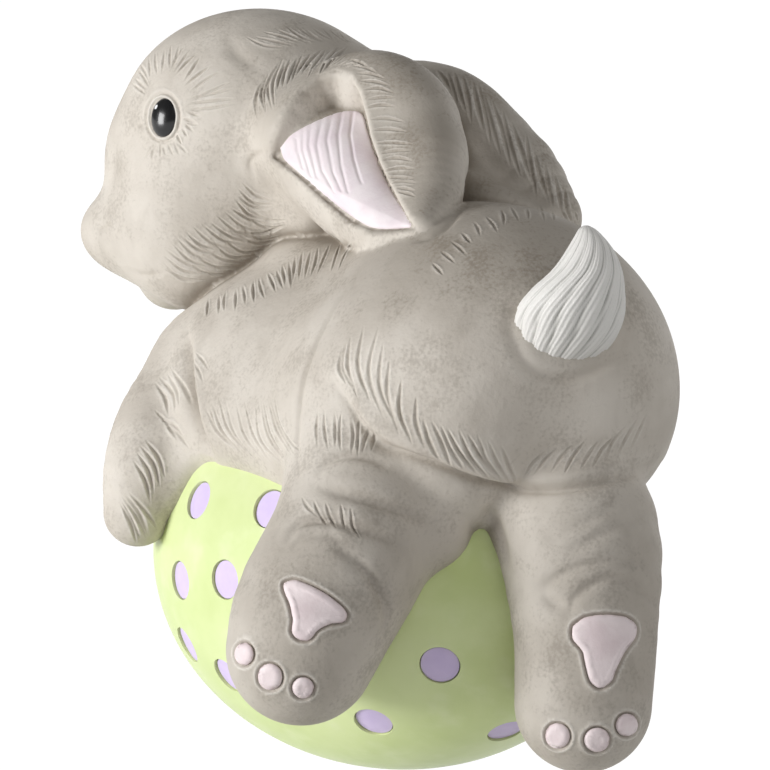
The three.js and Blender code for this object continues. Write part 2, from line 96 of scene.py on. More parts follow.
photo_view = Viewpoint(PHOTO_AZIMUTH, PHOTO_ELEVATION, PHOTO_GAZE)

bpy.ops.object.select_all(action="DESELECT")
bpy.ops.object.camera_add(location=photo_view.place)
camera = bpy.context.object
camera.name = "camera"
camera.data.sensor_width = SENSOR
camera.data.lens = SENSOR * FOCUS / PICTURE
camera.rotation_mode = "QUATERNION"
camera.rotation_quaternion = (-photo_view.back).to_track_quat("-Z", "Y")
bpy.context.scene.camera = camera

# Egg: one casting, glazed pale green, that lies on its side on a flat foot with its blunt end forward.
# Shallow round pits in the glaze take its spots. It carries the hare, so its size sets the hare's place.
EGG_LENGTH = 108.0
EGG_RADIUS = 40.8
EGG_TAPER = 0.07
EGG_MIDDLE = 38.2
EGG_SEGMENTS, EGG_RINGS = 160, 110
SPOT_RADIUS = 3.7
SPOT_SUNK = 0.4
PIT_SLACK, PIT_FLARE = 0.05, 0.35
CUTTER_HEIGHT, CUTTER_LOWERED = 3, 1.2
CUTTER_SIDES = 64
# Azimuth from the hare's left and height above the egg's middle, in degrees, in rows round the egg
SPOTS = [(-19, 23), (6, 27), (-20, 0), (-3, 5), (-24, -20), (-8, -25), (50, -11), (34, -33), (76, -38),
         (-46, -12), (-62, -32), (-74, -4), (-96, 14), (-98, -20), (-122, -6), (-148, -12), (-168, 4),
         (-158, -34), (174, -16), (176, 25), (150, 2), (124, -14)]
EGG_GREEN, EGG_SHADE, EGG_STREAK = (223, 235, 176), (208, 223, 153), (235, 243, 203)


def on_egg(azimuth, height, off=0.0):
    a, h = math.radians(azimuth), math.radians(height)
    out = np.array((math.cos(a) * math.cos(h), math.sin(a) * math.cos(h), math.sin(h)))
    radius = EGG_RADIUS * (1 - EGG_TAPER * out[1])
    at = np.array((out[0] * radius, out[1] * EGG_LENGTH / 2, out[2] * radius))
    normal = at / np.array((radius, EGG_LENGTH / 2, radius)) ** 2
    normal /= np.linalg.norm(normal)
    return at + (0, 0, EGG_MIDDLE) + off * normal, normal


# An output socket of a material's node, so that a coat of paint can be written as a sum
class Wire:
    def __init__(self, paint, socket):
        self.paint = paint
        self.socket = socket

    def math(self, operation, other, swap=False):
        pair = [other, self] if swap else [self, other]
        return self.paint.node("Math", pair, operation=operation)

    def __add__(self, other):
        return self.math("ADD", other)

    __radd__ = __add__

    def __sub__(self, other):
        return self.math("SUBTRACT", other)

    def __rsub__(self, other):
        return self.math("SUBTRACT", other, True)

    def __mul__(self, other):
        return self.math("MULTIPLY", other)

    def clamp(self):
        return self.paint.node("Clamp", [self])

    def between(self, low, high):
        return self.paint.node("MapRange", [self, low, high, 0.0, 1.0], interpolation_type="SMOOTHSTEP")


# A paint brushed on by hand: coats mixed by noises that stand still on the piece. Sizes are in metres.
class Paint:
    def __init__(self, name, roughness, coat=0.0, specular=0.4):
        self.material = bpy.data.materials.new(name)
        self.material.use_nodes = True
        self.tree = self.material.node_tree
        self.shader = self.tree.nodes["Principled BSDF"]
        self.shader.inputs["Roughness"].default_value = roughness
        self.shader.inputs["Coat Weight"].default_value = coat
        self.shader.inputs["Specular IOR Level"].default_value = specular
        self.place = self.node("TexCoord", output="Object")

    def node(self, kind, inputs=(), output=0, **settings):
        made = self.tree.nodes.new("ShaderNode" + kind)
        for name, value in settings.items():
            setattr(made, name, value)
        for key, value in dict(inputs).items() if isinstance(inputs, dict) else enumerate(inputs):
            self.feed(made.inputs[key], value)
        return Wire(self, made.outputs[output])

    def feed(self, socket, value):
        if isinstance(value, Wire):
            self.tree.links.new(value.socket, socket)
        else:
            socket.default_value = value

    def noise(self, size, detail=3.0, stretch=None, distortion=0.0):
        place = self.place
        if stretch:
            place = self.node("Mapping", {"Vector": place, "Scale": stretch})
        inputs = {"Vector": place, "Scale": 1 / size, "Detail": detail, "Distortion": distortion}
        return self.node("TexNoise", inputs, output="Fac")

    def attribute(self, name):
        return self.node("Attribute", output="Fac", attribute_name=name)

    def mix(self, amount, below, above):
        below, above = [colour if isinstance(colour, Wire) else linear(colour) for colour in (below, above)]
        return self.node("Mix", {0: amount, 6: below, 7: above}, output=2, data_type="RGBA")

    def finish(self, colour, height=None, depth=0.0, roughness=None):
        self.feed(self.shader.inputs["Base Color"], colour)
        if height is not None:
            bump = self.node("Bump", {"Height": height, "Distance": depth, "Strength": 1.0})
            self.feed(self.shader.inputs["Normal"], bump)
        if roughness is not None:
            self.feed(self.shader.inputs["Roughness"], roughness)
        return self.material


def linear(colour):
    levels = [level / 255 for level in colour]
    return [v / 12.92 if v <= 0.04045 else ((v + 0.055) / 1.055) ** 2.4 for v in levels] + [1.0]


bpy.ops.object.select_all(action="DESELECT")
bpy.ops.mesh.primitive_uv_sphere_add(segments=EGG_SEGMENTS, ring_count=EGG_RINGS, radius=1)
egg = bpy.context.object
egg.name = "egg_glazed"
for vertex in egg.data.vertices:
    x, z, y = vertex.co.x, -vertex.co.y, vertex.co.z
    radius = EGG_RADIUS * (1 - EGG_TAPER * y)
    vertex.co = Vector((x * radius, y * EGG_LENGTH / 2, EGG_MIDDLE + z * radius)) * MM
shell = bmesh.new()
shell.from_mesh(egg.data)
everything = shell.verts[:] + shell.edges[:] + shell.faces[:]
bmesh.ops.bisect_plane(shell, geom=everything, plane_co=(0, 0, 0), plane_no=(0, 0, -1), clear_outer=True)
bmesh.ops.holes_fill(shell, edges=[edge for edge in shell.edges if edge.is_boundary])
bmesh.ops.recalc_face_normals(shell, faces=shell.faces)
shell.to_mesh(egg.data)
shell.free()


def upright_on(normal):
    return Vector(normal).to_track_quat("Z", "Y").to_matrix().to_4x4()


def select(*things):
    bpy.ops.object.select_all(action="DESELECT")
    for thing in things:
        thing.select_set(True)
    bpy.context.view_layer.objects.active = things[0]


cutters = []
for azimuth, height in SPOTS:
    at, normal = on_egg(azimuth, height)
    bpy.ops.mesh.primitive_cone_add(vertices=CUTTER_SIDES, radius1=(SPOT_RADIUS + PIT_SLACK) * MM,
                                    radius2=(SPOT_RADIUS + PIT_FLARE) * MM, depth=CUTTER_HEIGHT * MM)
    cutter = bpy.context.object
    middle = at + normal * (CUTTER_HEIGHT / 2 - SPOT_SUNK - CUTTER_LOWERED)
    cutter.data.transform(Matrix.Translation(middle * MM) @ upright_on(normal))
    cutters.append(cutter)
select(*cutters)
bpy.ops.object.join()
pits = egg.modifiers.new("pits", "BOOLEAN")
pits.operation = "DIFFERENCE"
pits.solver = "EXACT"
pits.object = cutters[0]
select(egg)
bpy.ops.object.modifier_apply(modifier="pits")
bpy.data.objects.remove(cutters[0])
bpy.ops.object.shade_smooth_by_angle(angle=math.radians(25))

glaze = Paint("egg glaze", 0.42, 0.15)
cloud = glaze.noise(0.02, 4.0)
streak = glaze.noise(0.006, 3.0)
coat = glaze.mix(cloud.between(0.3, 0.7), EGG_GREEN, EGG_SHADE)
coat = glaze.mix(streak.between(0.5, 0.8) * 0.35, coat, EGG_STREAK)
egg.data.materials.clear()
egg.data.materials.append(glaze.finish(coat, cloud + glaze.noise(0.003) * 0.3, 0.00025))
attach(egg, "root")
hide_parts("egg")

# Spots: round lilac discs laid in the egg's pits, a little below its glaze. Each has a flat underside, a
# crown that follows the egg and an edge that rolls down into its pit.
SPOT_SEGMENTS, SPOT_RINGS = 48, 24
SPOT_UNDER = -1.1
SPOT_SPREAD = 1.35
SPOT_CROWN = 0.17
SPOT_ROLL_FROM, SPOT_ROLL = 0.74, 0.25
SPOT_LILAC, SPOT_SHADE = (225, 209, 247), (209, 191, 234)

lilac = Paint("spot paint", 0.5, 0.1)
cloud = lilac.noise(0.003, 3.0)
lilac_paint = lilac.finish(lilac.mix(cloud, SPOT_LILAC, SPOT_SHADE), cloud, 0.0001)
for number, (azimuth, height) in enumerate(SPOTS, 1):
    at, normal = on_egg(azimuth, height)
    bpy.ops.mesh.primitive_uv_sphere_add(segments=SPOT_SEGMENTS, ring_count=SPOT_RINGS, radius=1)
    disc = bpy.context.object
    disc.name = f"egg_spot_{number:02d}_disc"
    for vertex in disc.data.vertices:
        x, y, z = vertex.co
        out = math.hypot(x, y)
        reach = min(1.0, out * SPOT_SPREAD)
        spread = reach / out * SPOT_RADIUS if out > 0 else 0
        top = -SPOT_CROWN * reach**2 - SPOT_ROLL * max(0, out - SPOT_ROLL_FROM) ** 2
        vertex.co = Vector((x * spread, y * spread, top if z > -0.001 else SPOT_UNDER)) * MM
    disc.data.transform(Matrix.Translation((at - normal * SPOT_SUNK) * MM) @ upright_on(normal))
    disc.data.shade_smooth()
    disc.data.materials.append(lilac_paint)
    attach(disc, "root")
    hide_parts(f"egg_spot_{number:02d}")

# Torso: rump with its haunches, back, belly, neck and chest, a soft casting that lies on the egg. It and
# the other parts of the hare are forms that tell how far points lie outside them. Its balls are
# [x, y, z, radii] from its bed on the egg, the rump's from the rump's middle.
BED = EGG_MIDDLE + EGG_RADIUS - 1.6
REAR = EGG_LENGTH / 2 - 29
FRONT = 18 - EGG_LENGTH / 2
RUMP_AT = (-4, REAR, 6.6)
RUMP_TURN = -25
RUMP = {
    "middle": (0, 0, 0, 32.4, 33, 29),
    "left haunch": (13, 7, -9, 21, 26, 25),
    "right haunch": (-13, 7, -7.5, 20, 25, 23),
}
BODY = {
    "back": (-9, 4, 5.6, 24, 27, 25),
    "ribs": (6, -16, -3.4, 25, 27, 23),
    "neck": (-9, FRONT + 2, 5.0, 16, 17, 14),
    "chest": (5, FRONT + 1, -6.4, 22, 19, 17),
    "left loin": (16, REAR - 9, -3.4, 20, 21, 20),
    "left flank": (22, -7, -10.2, 12, 26, 9),
    "nape": (-4, -24, 18.5, 8, 8, 4),
}


def ball(x, y, z, rx, ry=None, rz=None):
    centre = np.array((x, y, z), float)
    radii = np.array((rx, ry or rx, rz or rx), float)

    def outside(p):
        q = (p - centre) / radii
        reach = np.sqrt((q * q).sum(1))
        steep = np.sqrt(((q / radii) ** 2).sum(1)) + 1e-9
        return reach * (reach - 1) / steep

    return outside


def balls(table):
    return [ball(*sizes) for sizes in table.values()]


def blend(d, e, width):
    close = np.maximum(width - np.abs(d - e), 0) / width
    return np.minimum(d, e) - close * close * width / 4


def melt(width, *forms):
    def outside(p):
        d = forms[0](p)
        for form in forms[1:]:
            d = blend(d, form(p), width)
        return d

    return outside


def placed(form, place, turn=0.0):
    c, s = math.cos(math.radians(turn)), math.sin(math.radians(turn))
    spin = np.array(((c, -s, 0), (s, c, 0), (0, 0, 1)))
    return lambda p: form((p - np.array(place, float)) @ spin)


rump = placed(melt(8, *balls(RUMP)), RUMP_AT, RUMP_TURN)
torso = placed(melt(12, rump, *balls(BODY)), (0, 0, BED))

# Head: skull, nape, cheeks, muzzle, bridge of the nose and chin, turned to the hare's left and seated on
# the neck. What lies beside the middle is the same on both sides. Its balls are placed from HEAD_AT.
HEAD_AT = np.array((-3, FRONT - 17, BED + 44.6))
HEAD_TURN = 40
SKULL = {"skull": (0, 6.4, -2, 22, 29.4, 25), "nape": (0, 14, -11, 17, 18, 17)}
FACE = {"cheeks": (8, -4.5, -20.8, 13.2, 17.4, 18), "muzzle": (3.5, -20, -23.2, 8, 11, 9)}
BRIDGE = (0, -14.5, -7.5, 9, 10.6, 9)
CHIN = (0, -12, -33.6, 7, 7.5, 6.5)
JAW_BELOW_EAR = (322, 205, -6)
JAW_RADIUS = 8


def pair(form):
    return lambda p: form(np.column_stack((np.abs(p[:, 0]), p[:, 1], p[:, 2])))


upper_head = melt(8, *balls(SKULL), *[pair(form) for form in balls(FACE)], ball(*BRIDGE))
jaw = ball(*photo_view.at(*JAW_BELOW_EAR), JAW_RADIUS)
head = melt(7, placed(melt(3, upper_head, ball(*CHIN)), HEAD_AT, HEAD_TURN), jaw)

# Ears: two long leaves laid back over the shoulders, the far one behind the near one. Each is hollowed on
# its outer side. A line of an ear is [x, y, z, radius] from HEAD_AT, or [x, y, nearer, radius] as the
# sculptor sees it.
NEAR_LEAF = ((-5, 40, -1), (13, 22, 18.4))
NEAR_RIM = [(4.5, 22, -3, 6.5), (3, 29, 0, 11.5), (3, 44, -7, 12.5), (10, 65, -16, 7)]
NEAR_TIP = [(430, 165, 20, 7), (432, 204, 27.5, 5.5), (423, 226, 35, 3)]
FAR_LEAF = ((-24, 38, -1), (9, 17, 13))
FAR_RIM = [(-15, 13, 5, 9), (-23, 33, 0.8, 11), (-26.5, 54, -8, 10.6), (-27, 66, -15.5, 7)]
FAR_LOWER_EDGE = [(466, 189, 6, 4.2), (500, 203, 10, 3.6), (540, 216, 11, 2.6)]
FAR_FILLING = [(464, 146, 2.5, 2.4), (482, 166, 3.2, 2.8), (500, 187, 5, 2.4)]
FAR_HOLLOW = [(-26, 18, 5, 2.5), (-37, 34, 2, 9.5), (-40, 49, -6, 9.5), (-36, 61, -14, 3)]


def spline(points, count):
    stops = [np.array(p, float) for p in points]
    stops = [2 * stops[0] - stops[1], *stops, 2 * stops[-1] - stops[-2]]
    line = []
    for t in np.linspace(0, len(points) - 1, count + 1):
        i = min(int(t), len(points) - 2)
        a, b, c, d = stops[i:i + 4]
        before, here, after = [np.linalg.norm((q - p)[:3]) ** 0.5 for p, q in ((a, b), (b, c), (c, d))]
        leave = ((b - a) / before - (c - a) / (before + here) + (c - b) / here) * here
        arrive = ((c - b) / here - (d - b) / (here + after) + (d - c) / after) * here
        w = t - i
        line.append(
            (2 * w**3 - 3 * w**2 + 1) * b + (w**3 - 2 * w**2 + w) * leave
            + (3 * w**2 - 2 * w**3) * c + (w**3 - w**2) * arrive
        )
    return np.array(line)


def roll(points, steps=10):
    beads = spline(points, steps)

    def outside(p):
        nearest = np.full(len(p), 1e9)
        for a, b in zip(beads[:-1], beads[1:]):
            way = b[:3] - a[:3]
            along = np.clip((p - a[:3]) @ way / (way @ way), 0, 1)
            away = np.sqrt(((p - a[:3] - along[:, None] * way) ** 2).sum(1))
            nearest = np.minimum(nearest, away - a[3] - along * (b[3] - a[3]))
        return nearest

    return outside


def scoop(width, form, tool):
    return lambda p: -melt(width, lambda q: -form(q), tool)(p)


def from_head(points):
    return [[*(HEAD_AT + p[:3]), *p[3:]] for p in points]


def seen(points):
    return [(*photo_view.at(x, y, nearer), radius) for x, y, nearer, radius in points]


def leaf(place, radii):
    return ball(*(HEAD_AT + place), *radii)


ear_left = melt(6, leaf(*NEAR_LEAF), roll(from_head(NEAR_RIM)), roll(seen(NEAR_TIP)))
ear_right = melt(6, leaf(*FAR_LEAF), roll(from_head(FAR_RIM)))
ear_right = melt(3, ear_right, roll(seen(FAR_LOWER_EDGE)), roll(seen(FAR_FILLING)))
ear_right = scoop(2, ear_right, roll(from_head(FAR_HOLLOW)))

# Arms: they hang from the shoulders round the blunt end of the egg, each with a web of skin towards the
# belly. The near one is drawn as the sculptor sees it. The other is its mirror image, a little further in.
ARM_LINE = [(228, 350, -12, 9), (200, 352, -11, 8), (178, 388, -8, 8.2), (162, 430, -3, 9.6),
            (149, 471, 1, 9.1), (138, 512, 2, 6.9)]
ARM_WEB = [(188, 436, 0, 6), (200, 449, 6, 5), (193, 466, 6, 3.8), (180, 488, 5, 3)]
ARM_STEPS = 16
RIGHT_ARM_INWARD = 1.7


def arm(side):
    inward = RIGHT_ARM_INWARD if side < 0 else 0
    lines = [[(side * (x - inward), y, z, radius) for x, y, z, radius in seen(line)]
             for line in (ARM_LINE, ARM_WEB)]
    return melt(5, *[roll(line, ARM_STEPS) for line in lines])


arm_left, arm_right = arm(1), arm(-1)

# Legs: they hang from the hips with the soles showing, the left one over the egg's side and the right one
# over its slimmer end. A leg is a hip, then [azimuth, height, off the egg, radius] down the egg.
LEFT_HIP = (20, REAR - 7, BED - 4.4, 17)
LEFT_LEG = [(32, 27, 2.0, 15.8), (26.5, 4, 9.3, 15.2), (25.5, -3, 12.0, 14)]
LEFT_HAUNCH = (47, 29)
LEFT_HAUNCH_RADIUS = 9.5
RIGHT_HIP = (-1.8, REAR + 14.6, BED - 12, 16.8)
RIGHT_LEG = [(89, 22, 3, 15.8), (82.5, 1, 7.6, 13.5), (80.5, -13.5, 12.2, 12.8)]


def leg(hip, points):
    return roll([hip, *[(*on_egg(azimuth, height, off)[0], r) for azimuth, height, off, r in points]])


leg_left = melt(3, leg(LEFT_HIP, LEFT_LEG), ball(*on_egg(*LEFT_HAUNCH)[0], LEFT_HAUNCH_RADIUS))
leg_right = leg(RIGHT_HIP, RIGHT_LEG)

# The near ear's cup: its roof slopes inwards from the rim and its floor rises towards the lower lip. Its
# outline is drawn on the picture, where a pixel is 0.2 mm of the hare.
PIXEL = 0.2
CUP_ROOF = [(268, 154), (273, 136), (286, 106), (301, 88), (318, 77), (335, 72), (350, 76), (360, 94)]
CUP_REST = [(366, 114), (371, 137), (379, 160), (389, 182), (401, 205), (415, 229), (374, 231), (352, 222),
            (325, 200), (297, 175), (281, 162)]
CUP_LIP = [(298, 173), (414, 228)]
CUP_FLOOR, CUP_RISE = 1.1, 0.3
ROOF_SLOPE = 0.85
ROOF_CORNERS = 7
CUP_BACK = 7
EAR_MIDDLE = (0, 40, 0)
cup_outline = np.array(CUP_ROOF + CUP_REST, float)
cup_roof = cup_outline[:ROOF_CORNERS]


def line_distance(q, line):
    nearest = np.full(len(q), 1e9)
    for a, b in zip(line[:-1], line[1:]):
        way = b - a
        along = np.clip(((q - a) @ way) / (way @ way), 0, 1)
        nearest = np.minimum(nearest, np.hypot(*(q - a - along[:, None] * way).T))
    return nearest * PIXEL


def outline_distance(q, outline):
    closed = np.vstack((outline, outline[:1]))
    crossings = np.zeros(len(q), int)
    for a, b in zip(closed[:-1], closed[1:]):
        way = b - a
        between = (a[1] > q[:, 1]) != (b[1] > q[:, 1])
        reach = a[0] + (q[:, 1] - a[1]) * way[0] / (way[1] if way[1] else 1e-9)
        crossings += between & (q[:, 0] < reach)
    away = line_distance(q, closed)
    return np.where(crossings % 2, -away, away)


def cup_depth(q):
    lip_start, lip_end = np.array(CUP_LIP)
    way = (lip_end - lip_start) / np.linalg.norm(lip_end - lip_start)
    above = ((q - lip_start) @ np.array((way[1], -way[0]))) * PIXEL
    floor = CUP_FLOOR + CUP_RISE * np.maximum(above, 0)
    return np.minimum(floor, ROOF_SLOPE * line_distance(q, cup_roof))


def cup(p, skin_depth):
    q = photo_view.picture(p)
    behind = -((p - HEAD_AT - EAR_MIDDLE) @ np.array(photo_view.back) + CUP_BACK)
    return np.maximum(np.maximum(outline_distance(q, cup_outline), -(skin_depth + cup_depth(q))), behind)


# The whole hare: its castings meet in creases, soft at the shoulders and at the roots of the ears, and
# sharp round the neck and under the ears. A crease's number is how far it is rounded, in millimetres.
FORMS = {
    "torso": torso,
    "head": head,
    "ear_left": ear_left,
    "ear_right": ear_right,
    "arm_left": arm_left,
    "arm_right": arm_right,
    "leg_left": leg_left,
    "leg_right": leg_right,
}
CREASES = {"arm_left": 3.0, "arm_right": 3.0, "head": 0.8, "leg_left": 1.5, "leg_right": 1.5}
EAR_CREASE, EAR_CREASE_AT_HEAD = 0.8, 4
CUP_REACH = 9
CUP_EDGE = 0.9
CUP_ABOVE, CUP_LEFT_OF = 92, -5
GRAIN = 0.87
CLAY_LOW, CLAY_HIGH = (-48, -84, -2), (66, 80, 148)


def solid_hare(p):
    part = {name: form(p) for name, form in FORMS.items()}
    d = part["torso"]
    for name, width in CREASES.items():
        d = blend(d, part[name], width)
    ears = np.minimum(part["ear_left"], part["ear_right"])
    at_head = np.clip((part["torso"] - part["head"]) / 10 + 0.5, 0, 1)
    return blend(d, ears, EAR_CREASE + EAR_CREASE_AT_HEAD * at_head)


def hare(p):
    d = solid_hare(p)
    near = (np.abs(d) < CUP_REACH) & (p[:, 2] > CUP_ABOVE) & (p[:, 0] > CUP_LEFT_OF)
    if near.any():
        d[near] = -blend(-d[near], cup(p[near], ear_left(p)[near]), CUP_EDGE)
    return d


# The skin of a form is found on a grid: a corner in each cell that the skin crosses, and a face across
# each grid edge that it crosses. Only the cells near the skin are looked at closely.
def skin(form, low, high, grain, coarse=4):
    low = np.array(low, float)
    count = (np.ceil((np.array(high) - low) / (grain * coarse)).astype(int) + 1) * coarse
    rough = [low[i] + grain * coarse * (np.arange(count[i] // coarse) + 0.5) for i in range(3)]
    centres = np.stack(np.meshgrid(*rough, indexing="ij"), -1)
    far = form(centres.reshape(-1, 3)).reshape(centres.shape[:3])
    block = np.abs(far) < grain * coarse * 1.2
    dist = np.repeat(np.repeat(np.repeat(far, coarse, 0), coarse, 1), coarse, 2)
    near = np.repeat(np.repeat(np.repeat(block, coarse, 0), coarse, 1), coarse, 2)
    dist[near] = form(low + np.argwhere(near) * grain)
    inside = dist < 0
    total = np.zeros(inside.shape + (3,))
    hits = np.zeros(inside.shape)
    quads = []
    number = np.arange(inside.size).reshape(inside.shape)
    for axis in range(3):
        step = np.eye(3, dtype=int)[axis]
        a = inside[tuple(slice(0, n - s) for n, s in zip(inside.shape, step))]
        b = inside[tuple(slice(s, None) for s in step)]
        edges = np.argwhere(a != b)
        edges = edges[(edges > 0).all(1)]
        da = dist[tuple(edges.T)]
        db = dist[tuple((edges + step).T)]
        crossing = edges + step * (da / (da - db))[:, None]
        side_b, side_c = [np.eye(3, dtype=int)[(axis + k) % 3] for k in (1, 2)]
        cells = [edges, edges - side_b, edges - side_b - side_c, edges - side_c]
        for cell in cells:
            np.add.at(total, tuple(cell.T), crossing)
            np.add.at(hits, tuple(cell.T), 1)
        ring = np.stack([number[tuple(cell.T)] for cell in cells], 1)
        quads.append(np.where((da < 0)[:, None], ring, ring[:, ::-1]))
    quads = np.concatenate(quads)
    used, quads = np.unique(quads, return_inverse=True)
    corners = low + grain * (total.reshape(-1, 3)[used] / hits.reshape(-1)[used][:, None])
    return corners, quads.reshape(-1, 4)


def uphill(form, p, h=0.05):
    return np.stack([(form(p + h * e) - form(p - h * e)) / (2 * h) for e in np.eye(3)], 1)


corners, quads = skin(hare, CLAY_LOW, CLAY_HIGH, GRAIN)
slope = uphill(hare, corners)
corners = corners - slope * (hare(corners) / np.maximum((slope**2).sum(1), 0.3))[:, None]

# Which part each face belongs to, and the seams between the parts drawn along the creases
NAMES = list(FORMS)
VOTING_ROUNDS = 8
SEAM_ROUNDS = 3
SEAM_STEP, SEAM_SHIFT = 0.4, 0.28


def parts_at(p):
    return np.stack([form(p) for form in FORMS.values()], 1)


def shortened(way, limit):
    return way * np.minimum(1, limit / (np.linalg.norm(way, axis=1) + 1e-9))[:, None]


owner = np.argmin(parts_at(corners[quads].mean(1)), 1)
for _ in range(VOTING_ROUNDS):
    votes = np.zeros((len(corners), len(NAMES)))
    for k in range(4):
        np.add.at(votes, (quads[:, k], owner), 1)
    owner = np.argmax(votes[quads].sum(1) + 0.5 * np.eye(len(NAMES))[owner], 1)
first_part = np.full(len(corners), len(NAMES))
last_part = np.full(len(corners), -1)
for k in range(4):
    np.minimum.at(first_part, quads[:, k], owner)
    np.maximum.at(last_part, quads[:, k], owner)
seam = np.argwhere(first_part != last_part)[:, 0]


def off_seam(p):
    part = parts_at(p)
    row = np.arange(len(p))
    return np.stack((hare(p), part[row, first_part[seam]] - part[row, last_part[seam]]), 1)


start = corners[seam].copy()
for _ in range(SEAM_ROUNDS):
    p = corners[seam]
    off = off_seam(p)
    jacobian = np.stack([(off_seam(p + 0.05 * e) - off_seam(p - 0.05 * e)) / 0.1 for e in np.eye(3)], 2)
    across = jacobian.transpose(0, 2, 1)
    square = jacobian @ across + 0.02 * np.eye(2)
    move = (across @ np.linalg.solve(square, off[:, :, None]))[:, :, 0]
    corners[seam] = start + shortened(p - shortened(move, SEAM_STEP) - start, SEAM_SHIFT)

# Shades kept on the clay's corners: a brown-grey wash and painted shade that gather where it is hollow, as
# an ambient occlusion, dusk on the shaded legs, and a darker coat and painted shade on what faces the sky:
# ears, poll and back
WASH_AND_SHADE_REACHES = ((1.5, 0.3), (4.0, 0.35), (9.0, 0.35))
slope /= np.linalg.norm(slope, axis=1)[:, None]
wash_and_shade = np.zeros(len(corners))
# Painted shade: how enclosed each corner is, sampled at three reaches out along its normal
for reach, share in WASH_AND_SHADE_REACHES:
    wash_and_shade += share * np.clip(1 - hare(corners + slope * reach) / reach, 0, 1)
dusk = torso(corners) - np.minimum(leg_left(corners), leg_right(corners))
dusk = np.clip((dusk + 1) / 17, 0, 1)
# Painted shade with darker paint: upward-facing surfaces high on the back, poll and ears get a darker coat
crown_paint_and_shade = np.clip((slope[:, 2] - 0.15) / 0.6, 0, 1) * np.clip((corners[:, 1] + 48) / 40, 0, 1)
crown_paint_and_shade *= np.clip((corners[:, 2] - 88) / 20, 0, 1)


def new_object(name, mesh_name, points, faces):
    made = bpy.data.meshes.new(mesh_name)
    made.from_pydata(points, [], faces)
    thing = bpy.data.objects.new(name, made)
    bpy.context.scene.collection.objects.link(thing)
    return thing


clay = new_object("clay", "clay", (corners * MM).tolist(), quads.tolist())
mesh = clay.data
for name, level in (("wash_and_shade", wash_and_shade), ("dusk", dusk), ("crown_paint_and_shade", crown_paint_and_shade)):
    mesh.attributes.new(name, "FLOAT", "POINT").data.foreach_set("value", level)
mesh.attributes.new("owner", "INT", "FACE").data.foreach_set("value", owner)

# Marks of the modelling tool. A mark is a bent line on the picture, pressed onto the clay: a stroke is a
# thin groove with raised lips, a fold is a wide crease whose right side, along its way, may lie lower.
# Hatching runs between two lines, and a mark with a mirror is made again on the hare's other side.
MARK_STEP = 0.8
MIRROR_REACH = 6 * MM
LONGEST_JUMP = 1.5
clay_tree = BVHTree.FromPolygons((corners * MM).tolist(), quads.tolist())
marks = {"stroke": [], "fold": []}
chance = np.random.default_rng(7)


def press(kind, points, depth, width, drop=0.0, mirror=None, even=False):
    points = np.array(points, float)
    length = np.linalg.norm(np.diff(points, axis=0), axis=1).sum()
    line = spline(points, max(int(length / MARK_STEP), 4))
    hits = [clay_tree.ray_cast(photo_view.place, photo_view.sight(x, y)) for x, y in line]
    rows = [(hit[0], hit[1], k / (len(line) - 1)) for k, hit in enumerate(hits) if hit[0]]
    store(kind, rows, depth, width, drop, even)
    if mirror:
        rows = [(mirror(place), clay_tree.find_nearest(mirror(place)), k) for place, _, k in rows]
        rows = [(near[0], near[1], k) for place, near, k in rows if (near[0] - place).length < MIRROR_REACH]
        store(kind, rows[::-1], depth, width, drop)


def store(kind, rows, depth, width, drop, even=False):
    if len(rows) < 3:
        return
    places = np.array([row[0] for row in rows]) / MM
    normals = np.array([row[1] for row in rows])
    share = np.array([row[2] for row in rows])
    side = np.cross(np.gradient(places, axis=0), normals)
    side /= np.linalg.norm(side, axis=1)[:, None] + 1e-9
    taper = np.ones(len(rows)) if even else np.sin(np.pi * np.clip(share, 0.02, 0.98)) ** 0.8
    if kind == "stroke":
        width = width * (0.35 + 0.65 * taper)
    columns = (places, normals, side, (depth * taper)[:, None], np.full(len(rows), width)[:, None],
               (drop * taper)[:, None])
    keep = np.concatenate(([True], np.linalg.norm(np.diff(places, axis=0), axis=1) < LONGEST_JUMP))
    marks[kind].append(np.hstack(columns)[keep])


def across_body(place):
    return Vector((-place.x, place.y, place.z))


def across_head(place):
    turn = Matrix.Rotation(math.radians(HEAD_TURN), 3, "Z")
    own = turn.inverted() @ (place - Vector(HEAD_AT * MM))
    return turn @ Vector((-own.x, own.y, own.z)) + Vector(HEAD_AT * MM)


def hatch(count, starts, ends, mirror=None, bend=0.0, depth=0.4, width=0.26):
    starts, ends = [spline(points, count - 1) for points in (starts, ends)]
    for a, b in zip(starts, ends):
        a = a + (a - b) * 0.08 + chance.normal(0, 1.2, 2)
        b = b + (b - a) * 0.16 + chance.normal(0, 1.8, 2)
        middle = (a + b) / 2 + np.array((a[1] - b[1], b[0] - a[0])) * (bend + chance.normal(0, 0.03))
        press("stroke", [a, middle, b], depth * chance.uniform(0.75, 1.15), width, mirror=mirror)


